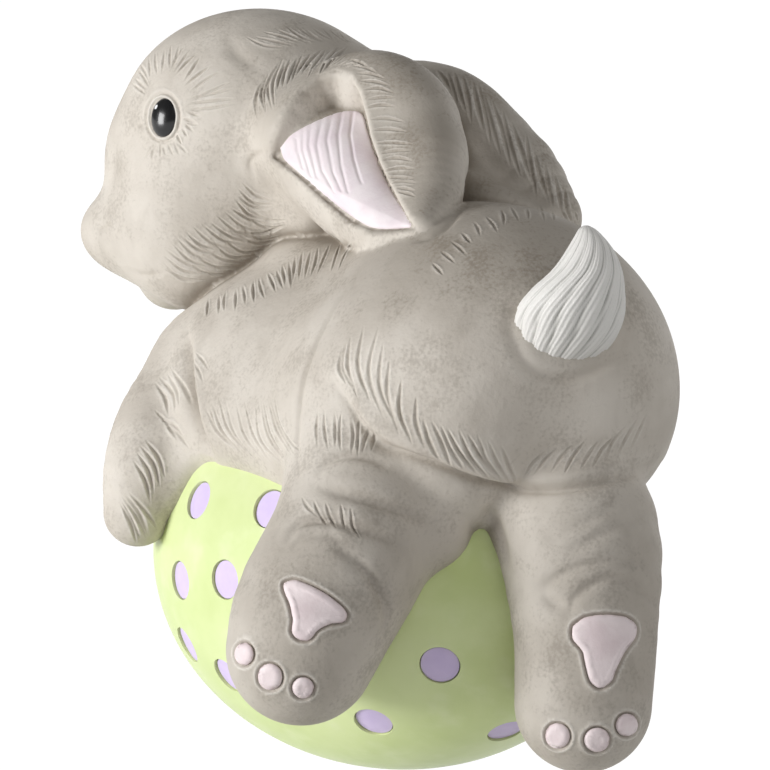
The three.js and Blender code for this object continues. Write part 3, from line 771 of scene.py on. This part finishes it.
# Hatchings: [count, starts, ends, mirror, bend, depth, width]
HEAD_HATCHES = {
    "above the eye": (9, [(133, 84), (140, 66), (160, 52), (180, 44)], [(144, 94), (149, 80), (160, 72),
        (173, 66)], across_head, 0.0, 0.3),
    "behind the eye": (10, [(184, 47), (200, 58), (229, 82), (233, 104)], [(172, 67), (184, 77),
        (196, 97), (192, 108)], across_head),
    "below and behind the eye": (7, [(200, 112), (197, 126), (182, 144)], [(189, 111), (186, 121),
        (178, 135)], across_head),
    "below the eye": (7, [(146, 160), (186, 152)], [(152, 146), (178, 143)], across_head, 0.0, 0.2),
    "crest of the head": (11, [(247, 38), (297, 27), (338, 32)], [(277, 48), (318, 39), (347, 41)], None,
        0.06),
    "cheek": (18, [(244, 184), (236, 204), (214, 220), (188, 232), (171, 248), (164, 270)], [(271, 198),
        (266, 219), (256, 238), (216, 249), (206, 264), (200, 282)], across_head, 0.12, 0.34),
    "jaw": (9, [(252, 210), (240, 230), (212, 244), (190, 262)], [(286, 219), (276, 237), (246, 256),
        (226, 272)], across_head, 0.16, 0.3),
}
JAW_LINE = [(226, 230), (258, 234), (285, 225)]
JAW_DEPTH, JAW_WIDTH = 0.5, 0.4
EAR_HATCHES = {
    "front of the rim": (6, [(260, 86), (284, 61)], [(256, 114), (276, 101)], None, 0.14, 0.42),
    "top of the rim": (9, [(286, 66), (310, 53), (348, 49)], [(280, 90), (299, 76), (326, 69)], None,
        0.06, 0.5),
    "corner of the rim": (4, [(342, 52), (358, 62)], [(323, 66), (345, 68)], None, 0.0, 0.42),
    "back of the rim": (17, [(350, 60), (364, 82), (370, 112), (379, 150), (388, 176), (397, 193)],
        [(369, 66), (386, 86), (394, 112), (408, 150), (410, 176), (413, 196)], None, -0.05, 0.42),
    "far ear": (15, [(439, 72), (468, 79), (494, 105), (530, 145), (568, 190)], [(450, 92), (474, 118),
        (509, 157), (540, 190), (571, 217)], None, 0.0, 0.5, 0.38),
}
BODY_HATCHES = {
    "ruff": (18, [(211, 300), (245, 284), (280, 268), (308, 252), (350, 243)], [(209, 315), (248, 301),
        (284, 287), (302, 275), (341, 268)], across_body, 0.0, 0.45),
    "shoulder": (4, [(157, 385), (172, 370)], [(168, 412), (180, 399)], across_body, -0.08, 0.42, 0.34),
    "upper arm": (3, [(156, 413), (166, 424)], [(175, 433), (183, 444)], across_body, -0.06, 0.42, 0.34),
    "forearm": (4, [(146, 440), (136, 464)], [(161, 471), (147, 498)], across_body, -0.08, 0.42, 0.34),
    "paw": (6, [(130, 493), (121, 508)], [(150, 524), (136, 536)], across_body, -0.05, 0.4, 0.34),
    "armpit": (3, [(198, 353), (190, 368)], [(205, 368), (199, 392)], across_body, -0.05, 0.3),
    "flank": (14, [(206, 409), (222, 403), (262, 405), (276, 398)], [(232, 444), (247, 449), (284, 458),
        (297, 444)], across_body, 0.1),
    "back": (13, [(434, 263), (463, 232), (500, 211), (540, 206), (574, 213)], [(442, 272), (471, 243),
        (505, 223), (545, 218), (578, 222)], None, 0.0, 0.32),
}
LEG_HATCHES = {
    "front of the haunch": (9, [(342, 352), (352, 340), (378, 334), (390, 362), (416, 400)], [(345, 378),
        (358, 389), (384, 403), (400, 424), (426, 444)], across_body, 0.12, 0.42, 0.34),
    "lower haunch": (9, [(424, 422), (460, 434), (500, 448)], [(440, 456), (484, 470), (516, 481)], None,
        0.05, 0.4, 0.34),
    "above the knee": (8, [(317, 411), (345, 416), (371, 432)], [(320, 441), (345, 448), (373, 447)],
        across_body, 0.0, 0.34),
    "shin": (5, [(302, 498), (352, 508)], [(311, 514), (358, 532)], across_body, 0.05, 0.36),
    "rump": (9, [(545, 452), (600, 440), (648, 415)], [(525, 474), (580, 466), (634, 449)], None, 0.05,
        0.35),
}
# Folds of the skin: [points, depth, width, drop, mirror]
FOLDS = {
    "slot behind the arm": ([(188, 330), (188, 362), (191, 395), (198, 428), (214, 462)], 1.8, 2.6, 3.2),
    "crease of the flank": ([(356, 277), (330, 315), (314, 348), (304, 376), (299, 406), (297, 440),
        (298, 480)], 0.9, 0.8, 0.0, across_body),
    "haunch above the legs": ([(334, 382), (350, 406), (362, 426), (380, 443), (404, 454), (432, 464),
        (470, 479), (500, 487), (530, 488), (565, 486), (600, 480), (632, 472), (662, 462)], 1.5, 0.9,
        1.8),
    "shin, upper": ([(314, 486), (340, 492), (372, 500), (405, 511), (445, 530)], 1.4, 1.3),
    "knee": ([(315, 480), (326, 463), (346, 455), (372, 458), (390, 468)], 0.9, 0.9),
    "shin, lower": ([(284, 546), (296, 525), (313, 519), (336, 520), (354, 527), (385, 537), (412, 552)],
        1.5, 1.1),
    "ankle": ([(290, 552), (302, 538), (330, 535), (346, 543)], 0.5, 0.9),
    "outer side of the foot": ([(330, 543), (357, 561), (375, 584), (386, 606), (384, 630)], 1.2, 1.2),
    "right ankle": ([(536, 592), (552, 580), (572, 569), (616, 560), (664, 568)], 0.9, 1.1),
    "right shin, lower": ([(560, 556), (598, 536), (660, 503)], 0.6, 1.3),
    "right shin, upper": ([(548, 540), (590, 520), (640, 494)], 0.4, 1.3),
    "round the right heel pad": ([(566, 622), (574, 599), (593, 584), (616, 577), (641, 589), (660, 612)],
        0.8, 1.0),
    "right foot's inner side": ([(540, 594), (553, 603), (568, 606)], 0.9, 1.2),
    "between the legs": ([(484, 505), (494, 520), (503, 545), (510, 575)], 1.0, 1.4),
    "root of the tail": ([(511, 300), (512, 336), (528, 366), (556, 379), (592, 371), (618, 350),
        (631, 316)], 0.9, 1.2),
    "root of the ears": ([(229, 36), (236, 52), (248, 62), (264, 71)], 0.5, 1.6, 0.0, across_head),
    "nape below the near ear's tip": ([(460, 208), (452, 220), (441, 230), (429, 237), (414, 241)], 1.0,
        0.9),
    "near ear on the cheek": ([(266, 152), (255, 156), (250, 162), (254, 178)], 0.6, 0.7),
    "back of the far ear": ([(446, 92), (462, 122), (480, 147), (502, 174), (532, 196), (566, 216)], 0.6,
        2.0),
    "mouth": ([(128, 268), (138, 274), (150, 276), (162, 272)], 0.35, 0.8, 0.0, across_head),
    "nostril": ([(98, 231), (104, 229), (112, 224)], 0.5, 0.6, 0.0, across_head),
    "corner of the eye": ([(138, 128), (142, 126), (147, 126)], 0.35, 0.5, 0.0, across_head),
}
for sizes in HEAD_HATCHES.values():
    hatch(*sizes)
press("stroke", JAW_LINE, JAW_DEPTH, JAW_WIDTH)
for hatches in (EAR_HATCHES, BODY_HATCHES, LEG_HATCHES):
    for sizes in hatches.values():
        hatch(*sizes)
for sizes in FOLDS.values():
    press("fold", *sizes)

# Rings pressed round the eyes, as [across, up, depth, width], and grooves round the pads of the feet. A toe
# is [x, y, across, up].
RIM_AT = (163, 117.5)
RIMS = ((14.2, 21.4, -0.3, 0.3), (17, 24.2, 0.24, 0.4))
LEFT_HEEL = [(284, 583), (293, 580), (311, 586), (334, 600), (347, 614), (345, 621), (330, 624), (318, 630),
             (309, 640), (298, 639), (292, 632), (293, 620), (289, 602), (284, 590)]
RIGHT_HEEL = [(573, 626), (584, 618), (602, 615), (625, 617), (636, 625), (636, 636), (625, 652), (616, 670),
              (611, 682), (600, 688), (591, 682), (586, 666), (582, 650), (573, 639)]
LEFT_TOES = [(244, 654, 9.5, 11), (270, 677, 12, 13), (303, 688, 10.5, 10.5)]
RIGHT_TOES = [(557.5, 736, 12, 12.5), (597, 740, 12.5, 12), (627, 725, 11, 11)]
PAD_GROOVE = (0.5, 0.4)


def ring(x, y, across, up):
    return [(x + across * math.cos(a), y + up * math.sin(a)) for a in np.linspace(0, 2 * math.pi, 13)[:-1]]


def press_round(outline, depth, width, mirror=None):
    press("stroke", outline + outline[:2], depth, width, mirror=mirror, even=True)


for across, up, depth, width in RIMS:
    press_round(ring(*RIM_AT, across, up), depth, width, across_head)
for outline in [LEFT_HEEL, RIGHT_HEEL] + [ring(*toe) for toe in LEFT_TOES + RIGHT_TOES]:
    press_round(outline, *PAD_GROOVE)

# The clay near a mark is cut finer, so that the grooves are crisp, and then pushed in along its normals
FINER_NEAR_MARKS, FINER_NEAR_STROKES = 1.2, 0.55
FOLD_REACH = 2.8
STEP_REACH = 11.0
STROKE_REACH = 1.6


def tree_of(rows):
    tree = KDTree(len(rows))
    for k, row in enumerate(rows):
        tree.insert(row[:3], k)
    tree.balance()
    return tree


def cut_finer(thing, reach, trees):
    select(thing)
    mesh = thing.data
    mesh.edges.foreach_set("select", np.zeros(len(mesh.edges), bool))
    mesh.vertices.foreach_set("select", np.zeros(len(mesh.vertices), bool))
    for polygon in mesh.polygons:
        middle = Vector(polygon.center) / MM
        polygon.select = min(tree.find(middle)[2] for tree in trees) < reach
    bpy.ops.object.mode_set(mode="EDIT")
    bpy.ops.mesh.select_mode(type="FACE")
    bpy.ops.mesh.subdivide(number_cuts=1, smoothness=1.0, ngon=False)
    bpy.ops.object.mode_set(mode="OBJECT")


def column(items, name, width, kind=float):
    values = np.zeros(len(items) * width, kind)
    items.foreach_get(name, values)
    return values.reshape(-1, width) if width > 1 else values


def hump(distance, width):
    return np.exp(-((distance / width) ** 2))


def sculpt(mesh):
    places = column(mesh.vertices, "co", 3) / MM
    normals = column(mesh.vertices, "normal", 3)
    # groove: how deep each corner lies in a mark, kept for painted shade in the grooves and a painted
    # highlight on their lips
    groove = np.zeros(len(places))
    offset = np.zeros(len(places))
    for rows in marks["fold"]:
        reach = STEP_REACH if rows[:, 11].max() > 0 else FOLD_REACH * rows[0, 10]
        low, high = rows[:, :3].min(0) - reach, rows[:, :3].max(0) + reach
        near = np.flatnonzero(((places > low) & (places < high)).all(1))
        gaps = places[near][:, None] - rows[None, :, :3]
        k = np.argmin((gaps**2).sum(2), 1)
        gap = gaps[np.arange(len(near)), k]
        far = np.linalg.norm(gap, axis=1)
        x = (gap * rows[k, 6:9]).sum(1)
        depth, width, drop = rows[k, 9:12].T
        lower = 1 / (1 + np.exp(-np.clip(x / 0.3, -30, 30)))
        push = depth * hump(far, width)
        offset[near] -= push + drop * lower * np.exp(-far / 4) * np.clip(1 - far / STEP_REACH, 0, 1)
        offset[near] += drop * 0.35 * (1 - lower) * hump(far - 2.2, 1.6)
        groove[near] += 0.55 * push
    for i, place in enumerate(places):
        _, k, far = stroke_tree.find(place)
        if far < STROKE_REACH:
            depth, t = strokes[k][9], far / strokes[k][10]
            push = math.exp(-1.1 * t * t)
            offset[i] += depth * (0.5 * hump(t - 1.9, 0.7) - push)
            groove[i] += push * depth / 0.4 - 0.6 * hump(t - 1.9, 0.6) * depth / 0.4
    mesh.vertices.foreach_set("co", ((places + normals * offset[:, None]) * MM).reshape(-1))
    mesh.attributes.new("groove", "FLOAT", "POINT").data.foreach_set("value", groove)
    mesh.update()


strokes, folds = np.concatenate(marks["stroke"]), np.concatenate(marks["fold"])
stroke_tree, fold_tree = tree_of(strokes), tree_of(folds)
cut_finer(clay, FINER_NEAR_MARKS, (stroke_tree, fold_tree))
cut_finer(clay, FINER_NEAR_STROKES, (stroke_tree,))
sculpt(mesh)

# The hare's castings: each part of the clay becomes a piece of its own, with its faces and a wall that
# closes it inside the hare, painted grey-brown, with a wash and painted shade in its hollows, and its edges
# rubbed pale with a painted highlight.
WALL = 2.4 * MM
SHADES = ("groove", "wash_and_shade", "dusk", "crown_paint_and_shade")
FUR_PALE, FUR_PALE_DUSK = (212, 205, 195), (194, 187, 177)
FUR_DULL, FUR_DULL_DUSK = (194, 186, 175), (174, 166, 155)
FUR_DIRT_AND_SHADE, FUR_DIRT_AND_SHADE_DUSK = (142, 132, 119), (120, 111, 100)
FUR_CROWN_AND_SHADE, FUR_RUBBED_AND_HIGHLIGHT = (132, 123, 111), (228, 223, 215)
places = column(mesh.vertices, "co", 3)
normals = column(mesh.vertices, "normal", 3)
owners = column(mesh.attributes["owner"].data, "value", 1, int)
shades = np.stack([column(mesh.attributes[kind].data, "value", 1) for kind in SHADES], 1)
faces = [tuple(polygon.vertices) for polygon in mesh.polygons]


def close_loops(faces):
    once = {}
    for face in faces:
        for a, b in zip(face, face[1:] + face[:1]):
            if (b, a) in once:
                del once[b, a]
            else:
                once[a, b] = True
    follow = {}
    for a, b in once:
        follow.setdefault(a, []).append(b)
    loops = []
    while follow:
        start = next(iter(follow))
        loop, here = [start], follow[start].pop()
        if not follow[start]:
            del follow[start]
        while here != start and here in follow:
            loop.append(here)
            after = follow[here].pop()
            if not follow[here]:
                del follow[here]
            here = after
        loops.append(loop)
    return loops


def part_piece(name, number, paint):
    own = [faces[k] for k in np.flatnonzero(owners == number)]
    used = sorted({v for face in own for v in face})
    where = {v: k for k, v in enumerate(used)}
    points = [tuple(places[v]) for v in used]
    lean = [tuple(normals[v]) for v in used]
    corner_shades = [tuple(shades[v]) for v in used]
    shown = [tuple(where[v] for v in face) for face in own]
    hidden = []
    for loop in close_loops(shown):
        first = len(points)
        inner = [np.array(points[v]) - np.array(lean[v]) * WALL for v in loop]
        points += [tuple(place) for place in inner]
        points.append(tuple(np.mean(inner, 0)))
        lean += [lean[v] for v in loop] + [(0, 0, 1)]
        corner_shades += [(0,) * len(SHADES)] * (len(loop) + 1)
        n = len(loop)
        for k in range(n):
            hidden.append((loop[k], first + k, first + (k + 1) % n, loop[(k + 1) % n]))
            hidden.append((first + (k + 1) % n, first + k, first + n))
    piece = new_object(name + "_clay", name, points, shown + hidden)
    made = piece.data
    for k, kind in enumerate(SHADES):
        made.attributes.new(kind, "FLOAT", "POINT").data.foreach_set("value", [row[k] for row in corner_shades])
    made.shade_smooth()
    made.validate()
    made.normals_split_custom_set_from_vertices(lean)
    made.materials.append(paint)
    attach(piece, "root")
    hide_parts(name)


fur = Paint("fur paint", 0.7)
crown_and_shade_level = fur.attribute("crown_paint_and_shade")
cloud = fur.noise(0.016, 4.0)
speck = fur.noise(0.0011, 4.0)
smear = fur.noise(0.005, 5.0, (1.0, 1.0, 0.5), 0.4)
dusk_level = (fur.attribute("dusk") + (cloud - 0.5) * 0.5).clamp()
pale = fur.mix(dusk_level, FUR_PALE, FUR_PALE_DUSK)
dull = fur.mix(dusk_level, FUR_DULL, FUR_DULL_DUSK)
dirt_and_shade = fur.mix(dusk_level, FUR_DIRT_AND_SHADE, FUR_DIRT_AND_SHADE_DUSK)
coat = fur.mix(cloud.between(0.35, 0.68) * 0.7, pale, dull)
# Painted shade with a brown-grey wash: the coat darkens where the clay is hollow, in creases, the armpit and
# under the legs
hollow_wash_and_shade = (fur.attribute("wash_and_shade") * 1.25 - 0.32 + (smear - 0.5) * 0.4).between(0.0, 0.95)
coat = fur.mix(hollow_wash_and_shade * 0.9, coat, dirt_and_shade)
# Painted shade with darker paint on what faces the sky, where the grain shows more too
coat = fur.mix(crown_and_shade_level * 0.55, coat, FUR_CROWN_AND_SHADE)
grain = (fur.noise(0.0007, 6.0) * 1.2 + fur.noise(0.009, 5.0) * 1.4).between(1.25, 1.75)
coat = fur.mix(grain * (crown_and_shade_level * 0.4 + 0.36), coat, dirt_and_shade)
coat = fur.mix(smear.between(0.5, 0.8) * 0.2, coat, dirt_and_shade)
# Painted shade with a wash in the grooves and creases, and pale paint with a painted highlight on the
# grooves' raised lips
coat = fur.mix((fur.attribute("groove") * 0.2).clamp(), coat, dirt_and_shade)
coat = fur.mix((fur.attribute("groove") * -0.9).clamp(), coat, FUR_RUBBED_AND_HIGHLIGHT)
fur_paint = fur.finish(coat, speck * 0.5 + fur.noise(0.0035, 4.0) * 0.8, 0.0002, 0.62 + cloud * 0.2)
for number, name in enumerate(NAMES):
    part_piece(name, number, fur_paint)
bpy.data.objects.remove(clay)

# Eyes: glossy black beads pressed into the head, a little taller than wide. Each has a painted highlight, a
# white glint dot towards the brow. The right one is the left one's mirror image across the head.
EYE_AT = (163.5, 117.5)
EYE_SIZE = (3.4, 2.0, 4.1)
EYE_SUNK = 0.75
GLINT = (0.5, 0.72, 0.48)
GLINT_INNER, GLINT_OUTER = 0.00042, 0.00056
EYE_BLACK, EYE_GLINT_WHITE = (22, 22, 23), (245, 246, 248)
sculpted_tree = BVHTree.FromPolygons(places.tolist(), faces)


def eye_paint(name, glint):
    gloss = Paint(name, 0.24, 0.3, 0.42)
    away = gloss.node("VectorMath", [gloss.place, tuple(glint)], output="Value", operation="DISTANCE")
    # A painted highlight: a white glint dot on the bead
    glint_dot = 1 - away.between(GLINT_INNER, GLINT_OUTER)
    return gloss.finish(gloss.mix(glint_dot, EYE_BLACK, EYE_GLINT_WHITE))


def eye(name, mirror=None):
    place, normal = sculpted_tree.ray_cast(photo_view.place, photo_view.sight(*EYE_AT))[:2]
    if mirror:
        tip = mirror(place + normal)
        place = mirror(place)
        normal = (tip - place).normalized()
    bpy.ops.mesh.primitive_uv_sphere_add(segments=48, ring_count=32, radius=1)
    bead = bpy.context.object
    bead.name = name + "_bead"
    upward = (Vector((0, 0, 1)) - normal * normal.z).normalized()
    turn = Matrix((upward.cross(normal) * -1, normal, upward)).transposed().to_4x4()
    size = Matrix.Diagonal((*[length * MM for length in EYE_SIZE], 1))
    lay = Matrix.Translation(place - normal * EYE_SUNK * MM) @ turn @ size
    bead.data.transform(lay)
    bead.data.shade_smooth()
    bead.data.materials.append(eye_paint(name + " paint", lay @ Vector(GLINT)))
    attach(bead, "root")
    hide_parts(name)


bpy.ops.object.select_all(action="DESELECT")
eye("eye_left")
eye("eye_right", across_head)

# Pads of the feet: a heel and three toes on each sole, thin domed plates laid in their grooves on the
# clay and painted pale pink. A plate is rings within rings, from its hidden underside to its middle.
PAD_PALE, PAD_DEEP, PINK_GROOVE_SHADE = (240, 227, 228), (228, 212, 214), (196, 176, 184)
EDGE_SHARES = [0.985, 1.0, 0.995, 0.98, 0.95]
EDGE_RISES = [-0.15, 0.35, 0.7, 0.9]
MIDDLE_SHARES = (0.9, 0.06)


def cast(view, spots):
    hits = [sculpted_tree.ray_cast(view.place, view.sight(x, y))[:2] for x, y in spots]
    return np.array([hit[0] for hit in hits]) / MM, np.array([hit[1] for hit in hits])


def face_outward(mesh):
    sheet = bmesh.new()
    sheet.from_mesh(mesh)
    bmesh.ops.recalc_face_normals(sheet, faces=sheet.faces)
    sheet.to_mesh(mesh)
    sheet.free()


def drape(name, outline, view, paint, rings=10, around=96, rise=0.35, under=0.9, touch=cast):
    outline = spline(list(outline) + [outline[0]], around)[:-1]
    middle = outline.mean(0)
    shares = EDGE_SHARES + list(np.linspace(*MIDDLE_SHARES, rings))
    heights = [-under, EDGE_RISES[0]] + [rise * share for share in EDGE_RISES[1:]] + [rise] * rings
    spots = np.concatenate([middle + (outline - middle) * share for share in shares])
    places_on, leans = touch(view, spots)
    points = [Vector(point) for point in (places_on + leans * np.repeat(heights, around)[:, None]) * MM]
    quads = []
    count = len(shares)
    for row in range(count - 1):
        for k in range(around):
            after = (k + 1) % around
            quads.append((row * around + k, row * around + after, (row + 1) * around + after,
                          (row + 1) * around + k))
    top, bottom = len(points), len(points) + 1
    points.append(sum(points[-around:], Vector()) / around)
    points.append(sum(points[:around], Vector()) / around)
    for k in range(around):
        after = (k + 1) % around
        quads.append(((count - 1) * around + k, (count - 1) * around + after, top))
        quads.append((after, k, bottom))
    plate = new_object(name + "_plate", name, points, quads)
    plate.data.shade_smooth()
    face_outward(plate.data)
    plate.data.materials.append(paint)
    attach(plate, "root")
    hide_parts(name)


def pink_paint(name, pale, deep):
    pink = Paint(name, 0.55)
    cloud = pink.noise(0.006, 4.0)
    speck = pink.noise(0.0012, 3.0)
    groove = pink.attribute("groove")
    coat = pink.mix(cloud.between(0.35, 0.7), pale, deep)
    # Painted shade: a deeper pink where the groove attribute is set
    coat = pink.mix((groove * 0.9).clamp(), coat, PINK_GROOVE_SHADE)
    return pink.finish(coat, speck + cloud, 0.00008)


pad_paint = pink_paint("pad paint", PAD_PALE, PAD_DEEP)
for name, outline in (("left_heel_pad", LEFT_HEEL), ("right_heel_pad", RIGHT_HEEL)):
    drape(name, outline, photo_view, pad_paint)
for side, toes in (("left", LEFT_TOES), ("right", RIGHT_TOES)):
    for number, toe in enumerate(toes, 1):
        drape(f"{side}_toe_pad_{number}", ring(*toe), photo_view, pad_paint, 5, 48)

# Lining of the near ear: a pink plate on the floor of its cup, combed into soft ribs. The floor is found
# on each line of sight, between the nearest and the farthest that the ear is from the lens.
LINING_PALE, LINING_DEEP = (241, 232, 234), (234, 221, 226)
LINING_RISE, LINING_UNDER = 0.6, 0.8
RIB_HEIGHT = 0.35
NEAR_RIB, FAR_RIB = 0.32, 0.4
EAR_NEAREST, EAR_FARTHEST = 662.0, 706.0
LINING = [(280, 148), (291, 135), (316, 121), (345, 111), (361, 113), (368, 132), (375, 153), (383, 173),
          (394, 194), (412, 226), (396, 229), (373, 228), (357, 220), (328, 198), (298, 172), (284, 159)]
RIBS = [[(296, 134), (298, 150), (303, 168)], [(303, 128), (303, 150), (311, 176)],
        [(311, 123), (309, 145), (317, 177)], [(322, 118), (317, 145), (322, 170), (334, 192)],
        [(332, 114), (327, 140), (333, 172), (341, 190)], [(342, 112), (338, 135), (341, 165), (348, 192)],
        [(353, 113), (350, 135), (354, 160), (361, 182)]]


def ribs_at(spots, ribs, width):
    return sum(RIB_HEIGHT * hump(line_distance(spots, np.array(line, float)), width) for line in ribs)


def cup_floor(view, spots):
    eye_point = np.array(view.place) / MM
    sight = np.array([view.sight(x, y) for x, y in spots])
    low, high = np.full(len(spots), EAR_NEAREST), np.full(len(spots), EAR_FARTHEST)
    depth = cup_depth(spots)
    for _ in range(16):
        middle = (low + high) / 2
        outside = ear_left(eye_point + sight * middle[:, None]) + depth > 0
        low, high = np.where(outside, middle, low), np.where(outside, high, middle)
    return eye_point + sight * (low + ribs_at(spots, RIBS, NEAR_RIB))[:, None], -sight


lining_paint = pink_paint("lining paint", LINING_PALE, LINING_DEEP)
drape("ear_lining_left", LINING, photo_view, lining_paint, 40, 240, LINING_RISE, LINING_UNDER, cup_floor)

# Lining of the far ear: the same plate in its hollow, drawn as it is seen from the hare's right side.
# The photograph doesn't show it, so it repeats the near one's ribs more simply.
right_view = Viewpoint(-90, 8, HEAD_AT + (-30, 40, -4))
RIGHT_LINING = [(296, 464), (318, 446), (350, 417), (386, 385), (424, 356), (462, 340), (480, 344),
                (462, 372), (430, 404), (394, 436), (358, 458), (322, 470)]
RIGHT_RIBS = [[(320, 452), (360, 420), (410, 384), (458, 352)],
              [(326, 460), (368, 432), (416, 396), (462, 362)],
              [(340, 463), (376, 442), (412, 414), (440, 388)]]


def hollow_floor(view, spots):
    places_on, leans = cast(view, spots)
    return places_on - leans * ribs_at(spots, RIGHT_RIBS, FAR_RIB)[:, None], leans


drape("ear_lining_right", RIGHT_LINING, right_view, lining_paint, 30, 160, LINING_RISE, LINING_UNDER,
      hollow_floor)

# Tail: a short flame of combed hair that stands up from the rump, silver white, with grey painted shade in
# the hollows between its locks. It is a row of flat rings along its curve, as [y, x, half width, half depth,
# nearer].
TAIL = [(375, 553, 0.6, 0.6, 47.5), (369, 555, 4.3, 3.6, 48.5), (356, 559, 7.4, 6.0, 50.5),
        (336, 565, 9.3, 7.8, 53), (312, 570, 9.9, 8.6, 55.5), (290, 578, 8.5, 8.0, 57.5),
        (270, 587, 6.3, 6.4, 59), (250, 590, 4.3, 4.5, 60), (237, 589, 2.7, 2.9, 60.5),
        (229, 587, 1.5, 1.6, 60.5), (225.5, 586, 0.5, 0.5, 60.5)]
TAIL_ROWS, TAIL_AROUND = 110, 260
TAIL_SILVER, TAIL_GREY_SHADE = (230, 228, 224), (148, 147, 141)
rows = spline(TAIL, TAIL_ROWS)
around = np.linspace(0, 2 * np.pi, TAIL_AROUND, endpoint=False)
lens = LENS_AWAY * METRE
points, combed = [], []
for k, (y, x, wide, deep, nearer) in enumerate(rows):
    t = k / TAIL_ROWS
    aside = photo_view.right * (x - PICTURE / 2) - photo_view.up * (y - PICTURE / 2)
    middle = Vector(PHOTO_GAZE) + photo_view.back * nearer + aside * (PIXEL * (lens - nearer) / lens)
    sweep = -1.1 * (1 - t) ** 1.5
    locks = np.abs(np.sin(7.5 * (around + sweep) + 0.6 * np.sin(9 * t)))
    hairs = np.abs(np.sin(27 * (around + sweep * 1.2) + 1.3 * np.sin(5 * t + 2 * around)))
    comb = 0.075 * (locks - 0.6) + 0.045 * (hairs - 0.6)
    comb *= np.clip(1.15 - t, 0.3, 1) * min(1, 6 * t + 0.15)
    for a, c in zip(around, comb):
        out = photo_view.right * (math.cos(a) * wide) + photo_view.back * (math.sin(a) * deep)
        points.append((middle + out * (1 + c)) * MM)
    combed.extend(0.6 - hairs * 0.5 - locks * 0.5)
quads = []
for row in range(TAIL_ROWS):
    for k in range(TAIL_AROUND):
        after = (k + 1) % TAIL_AROUND
        a, b = row * TAIL_AROUND, (row + 1) * TAIL_AROUND
        quads.append((a + k, b + k, b + after, a + after))
quads.append(tuple(range(TAIL_AROUND)))
quads.append(tuple(reversed(range(TAIL_ROWS * TAIL_AROUND, (TAIL_ROWS + 1) * TAIL_AROUND))))
tail = new_object("tail_hair", "tail", points, quads)
tail.data.attributes.new("groove", "FLOAT", "POINT").data.foreach_set("value", combed)
tail.data.shade_smooth()
face_outward(tail.data)
silver = Paint("tail paint", 0.6)
# Painted shade: grey in the hollows between the locks
lock_shade = (silver.attribute("groove") * 1.6 + (silver.noise(0.004) - 0.5) * 0.6).clamp()
coat = silver.mix(lock_shade, TAIL_SILVER, TAIL_GREY_SHADE)
tail.data.materials.append(silver.finish(coat, silver.noise(0.0009), 0.0001))
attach(tail, "root")
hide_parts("tail")

# Stage: a white floor in a white studio, a key light from the left of the picture and two soft fills. The
# lens and mirrored rays see the floor nearly as bright as the backdrop; other light finds it a matt white.
FLOOR_SIZE = 12
FLOOR_WHITE = (0.9, 0.9, 0.9, 1)
FLOOR_GLOW, FLOOR_GLOW_SHARE = 1.1, 0.93
STUDIO_LIGHT = 0.17
LAMPS_MIDDLE = (0, 0, 0.07)
# Each lamp: [right, up, back, size, power], in metres and watts
LAMPS = {
    "key": (-0.92, 0.08, 0.38, 0.45, 9.3),
    "fill": (0.5, 0.45, 0.5, 0.7, 1.9),
    "far side": (0.35, 0.25, -0.8, 0.8, 3.4),
}
bpy.ops.object.select_all(action="DESELECT")
bpy.ops.mesh.primitive_plane_add(size=FLOOR_SIZE, location=(0, 0, 0))
floor = bpy.context.object
floor.name = "floor"
floor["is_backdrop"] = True
white = Paint("floor", 0.9)
seen_by_lens = white.node("LightPath", output="Is Camera Ray")
mirrored = white.node("LightPath", output="Is Glossy Ray")
glow = white.node("Emission", {"Color": (1, 1, 1, 1), "Strength": FLOOR_GLOW})
matt = Wire(white, white.shader.outputs[0])
shade = white.node("MixShader", [(seen_by_lens + mirrored).clamp() * FLOOR_GLOW_SHARE, matt, glow])
white.shader.inputs["Base Color"].default_value = FLOOR_WHITE
white.tree.links.new(shade.socket, white.tree.nodes["Material Output"].inputs["Surface"])
floor.data.materials.append(white.material)
for name, (right, up, back, size, power) in LAMPS.items():
    place = photo_view.right * right + photo_view.up * up + photo_view.back * back
    bpy.ops.object.light_add(type="AREA", location=Vector(LAMPS_MIDDLE) + place)
    lamp = bpy.context.object
    lamp.name = name
    lamp.data.size = size
    lamp.data.energy = power
    lamp.rotation_mode = "QUATERNION"
    lamp.rotation_quaternion = (-place).to_track_quat("-Z", "Y")

world = bpy.data.worlds.new("studio")
bpy.context.scene.world = world
world.use_nodes = True
backdrop = world.node_tree.nodes["Background"]
backdrop.inputs["Color"].default_value = (1, 1, 1, 1)
direct = world.node_tree.nodes.new("ShaderNodeLightPath")
bright = world.node_tree.nodes.new("ShaderNodeMapRange")
world.node_tree.links.new(direct.outputs["Is Camera Ray"], bright.inputs["Value"])
bright.inputs["To Min"].default_value = STUDIO_LIGHT
bright.inputs["To Max"].default_value = 1.0
world.node_tree.links.new(bright.outputs["Result"], backdrop.inputs["Strength"])
bpy.context.scene.view_settings.view_transform = "Standard"

sizes = {"cad": [list(corner) for corner in cad_box], "visual": [list(corner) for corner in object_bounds()]}
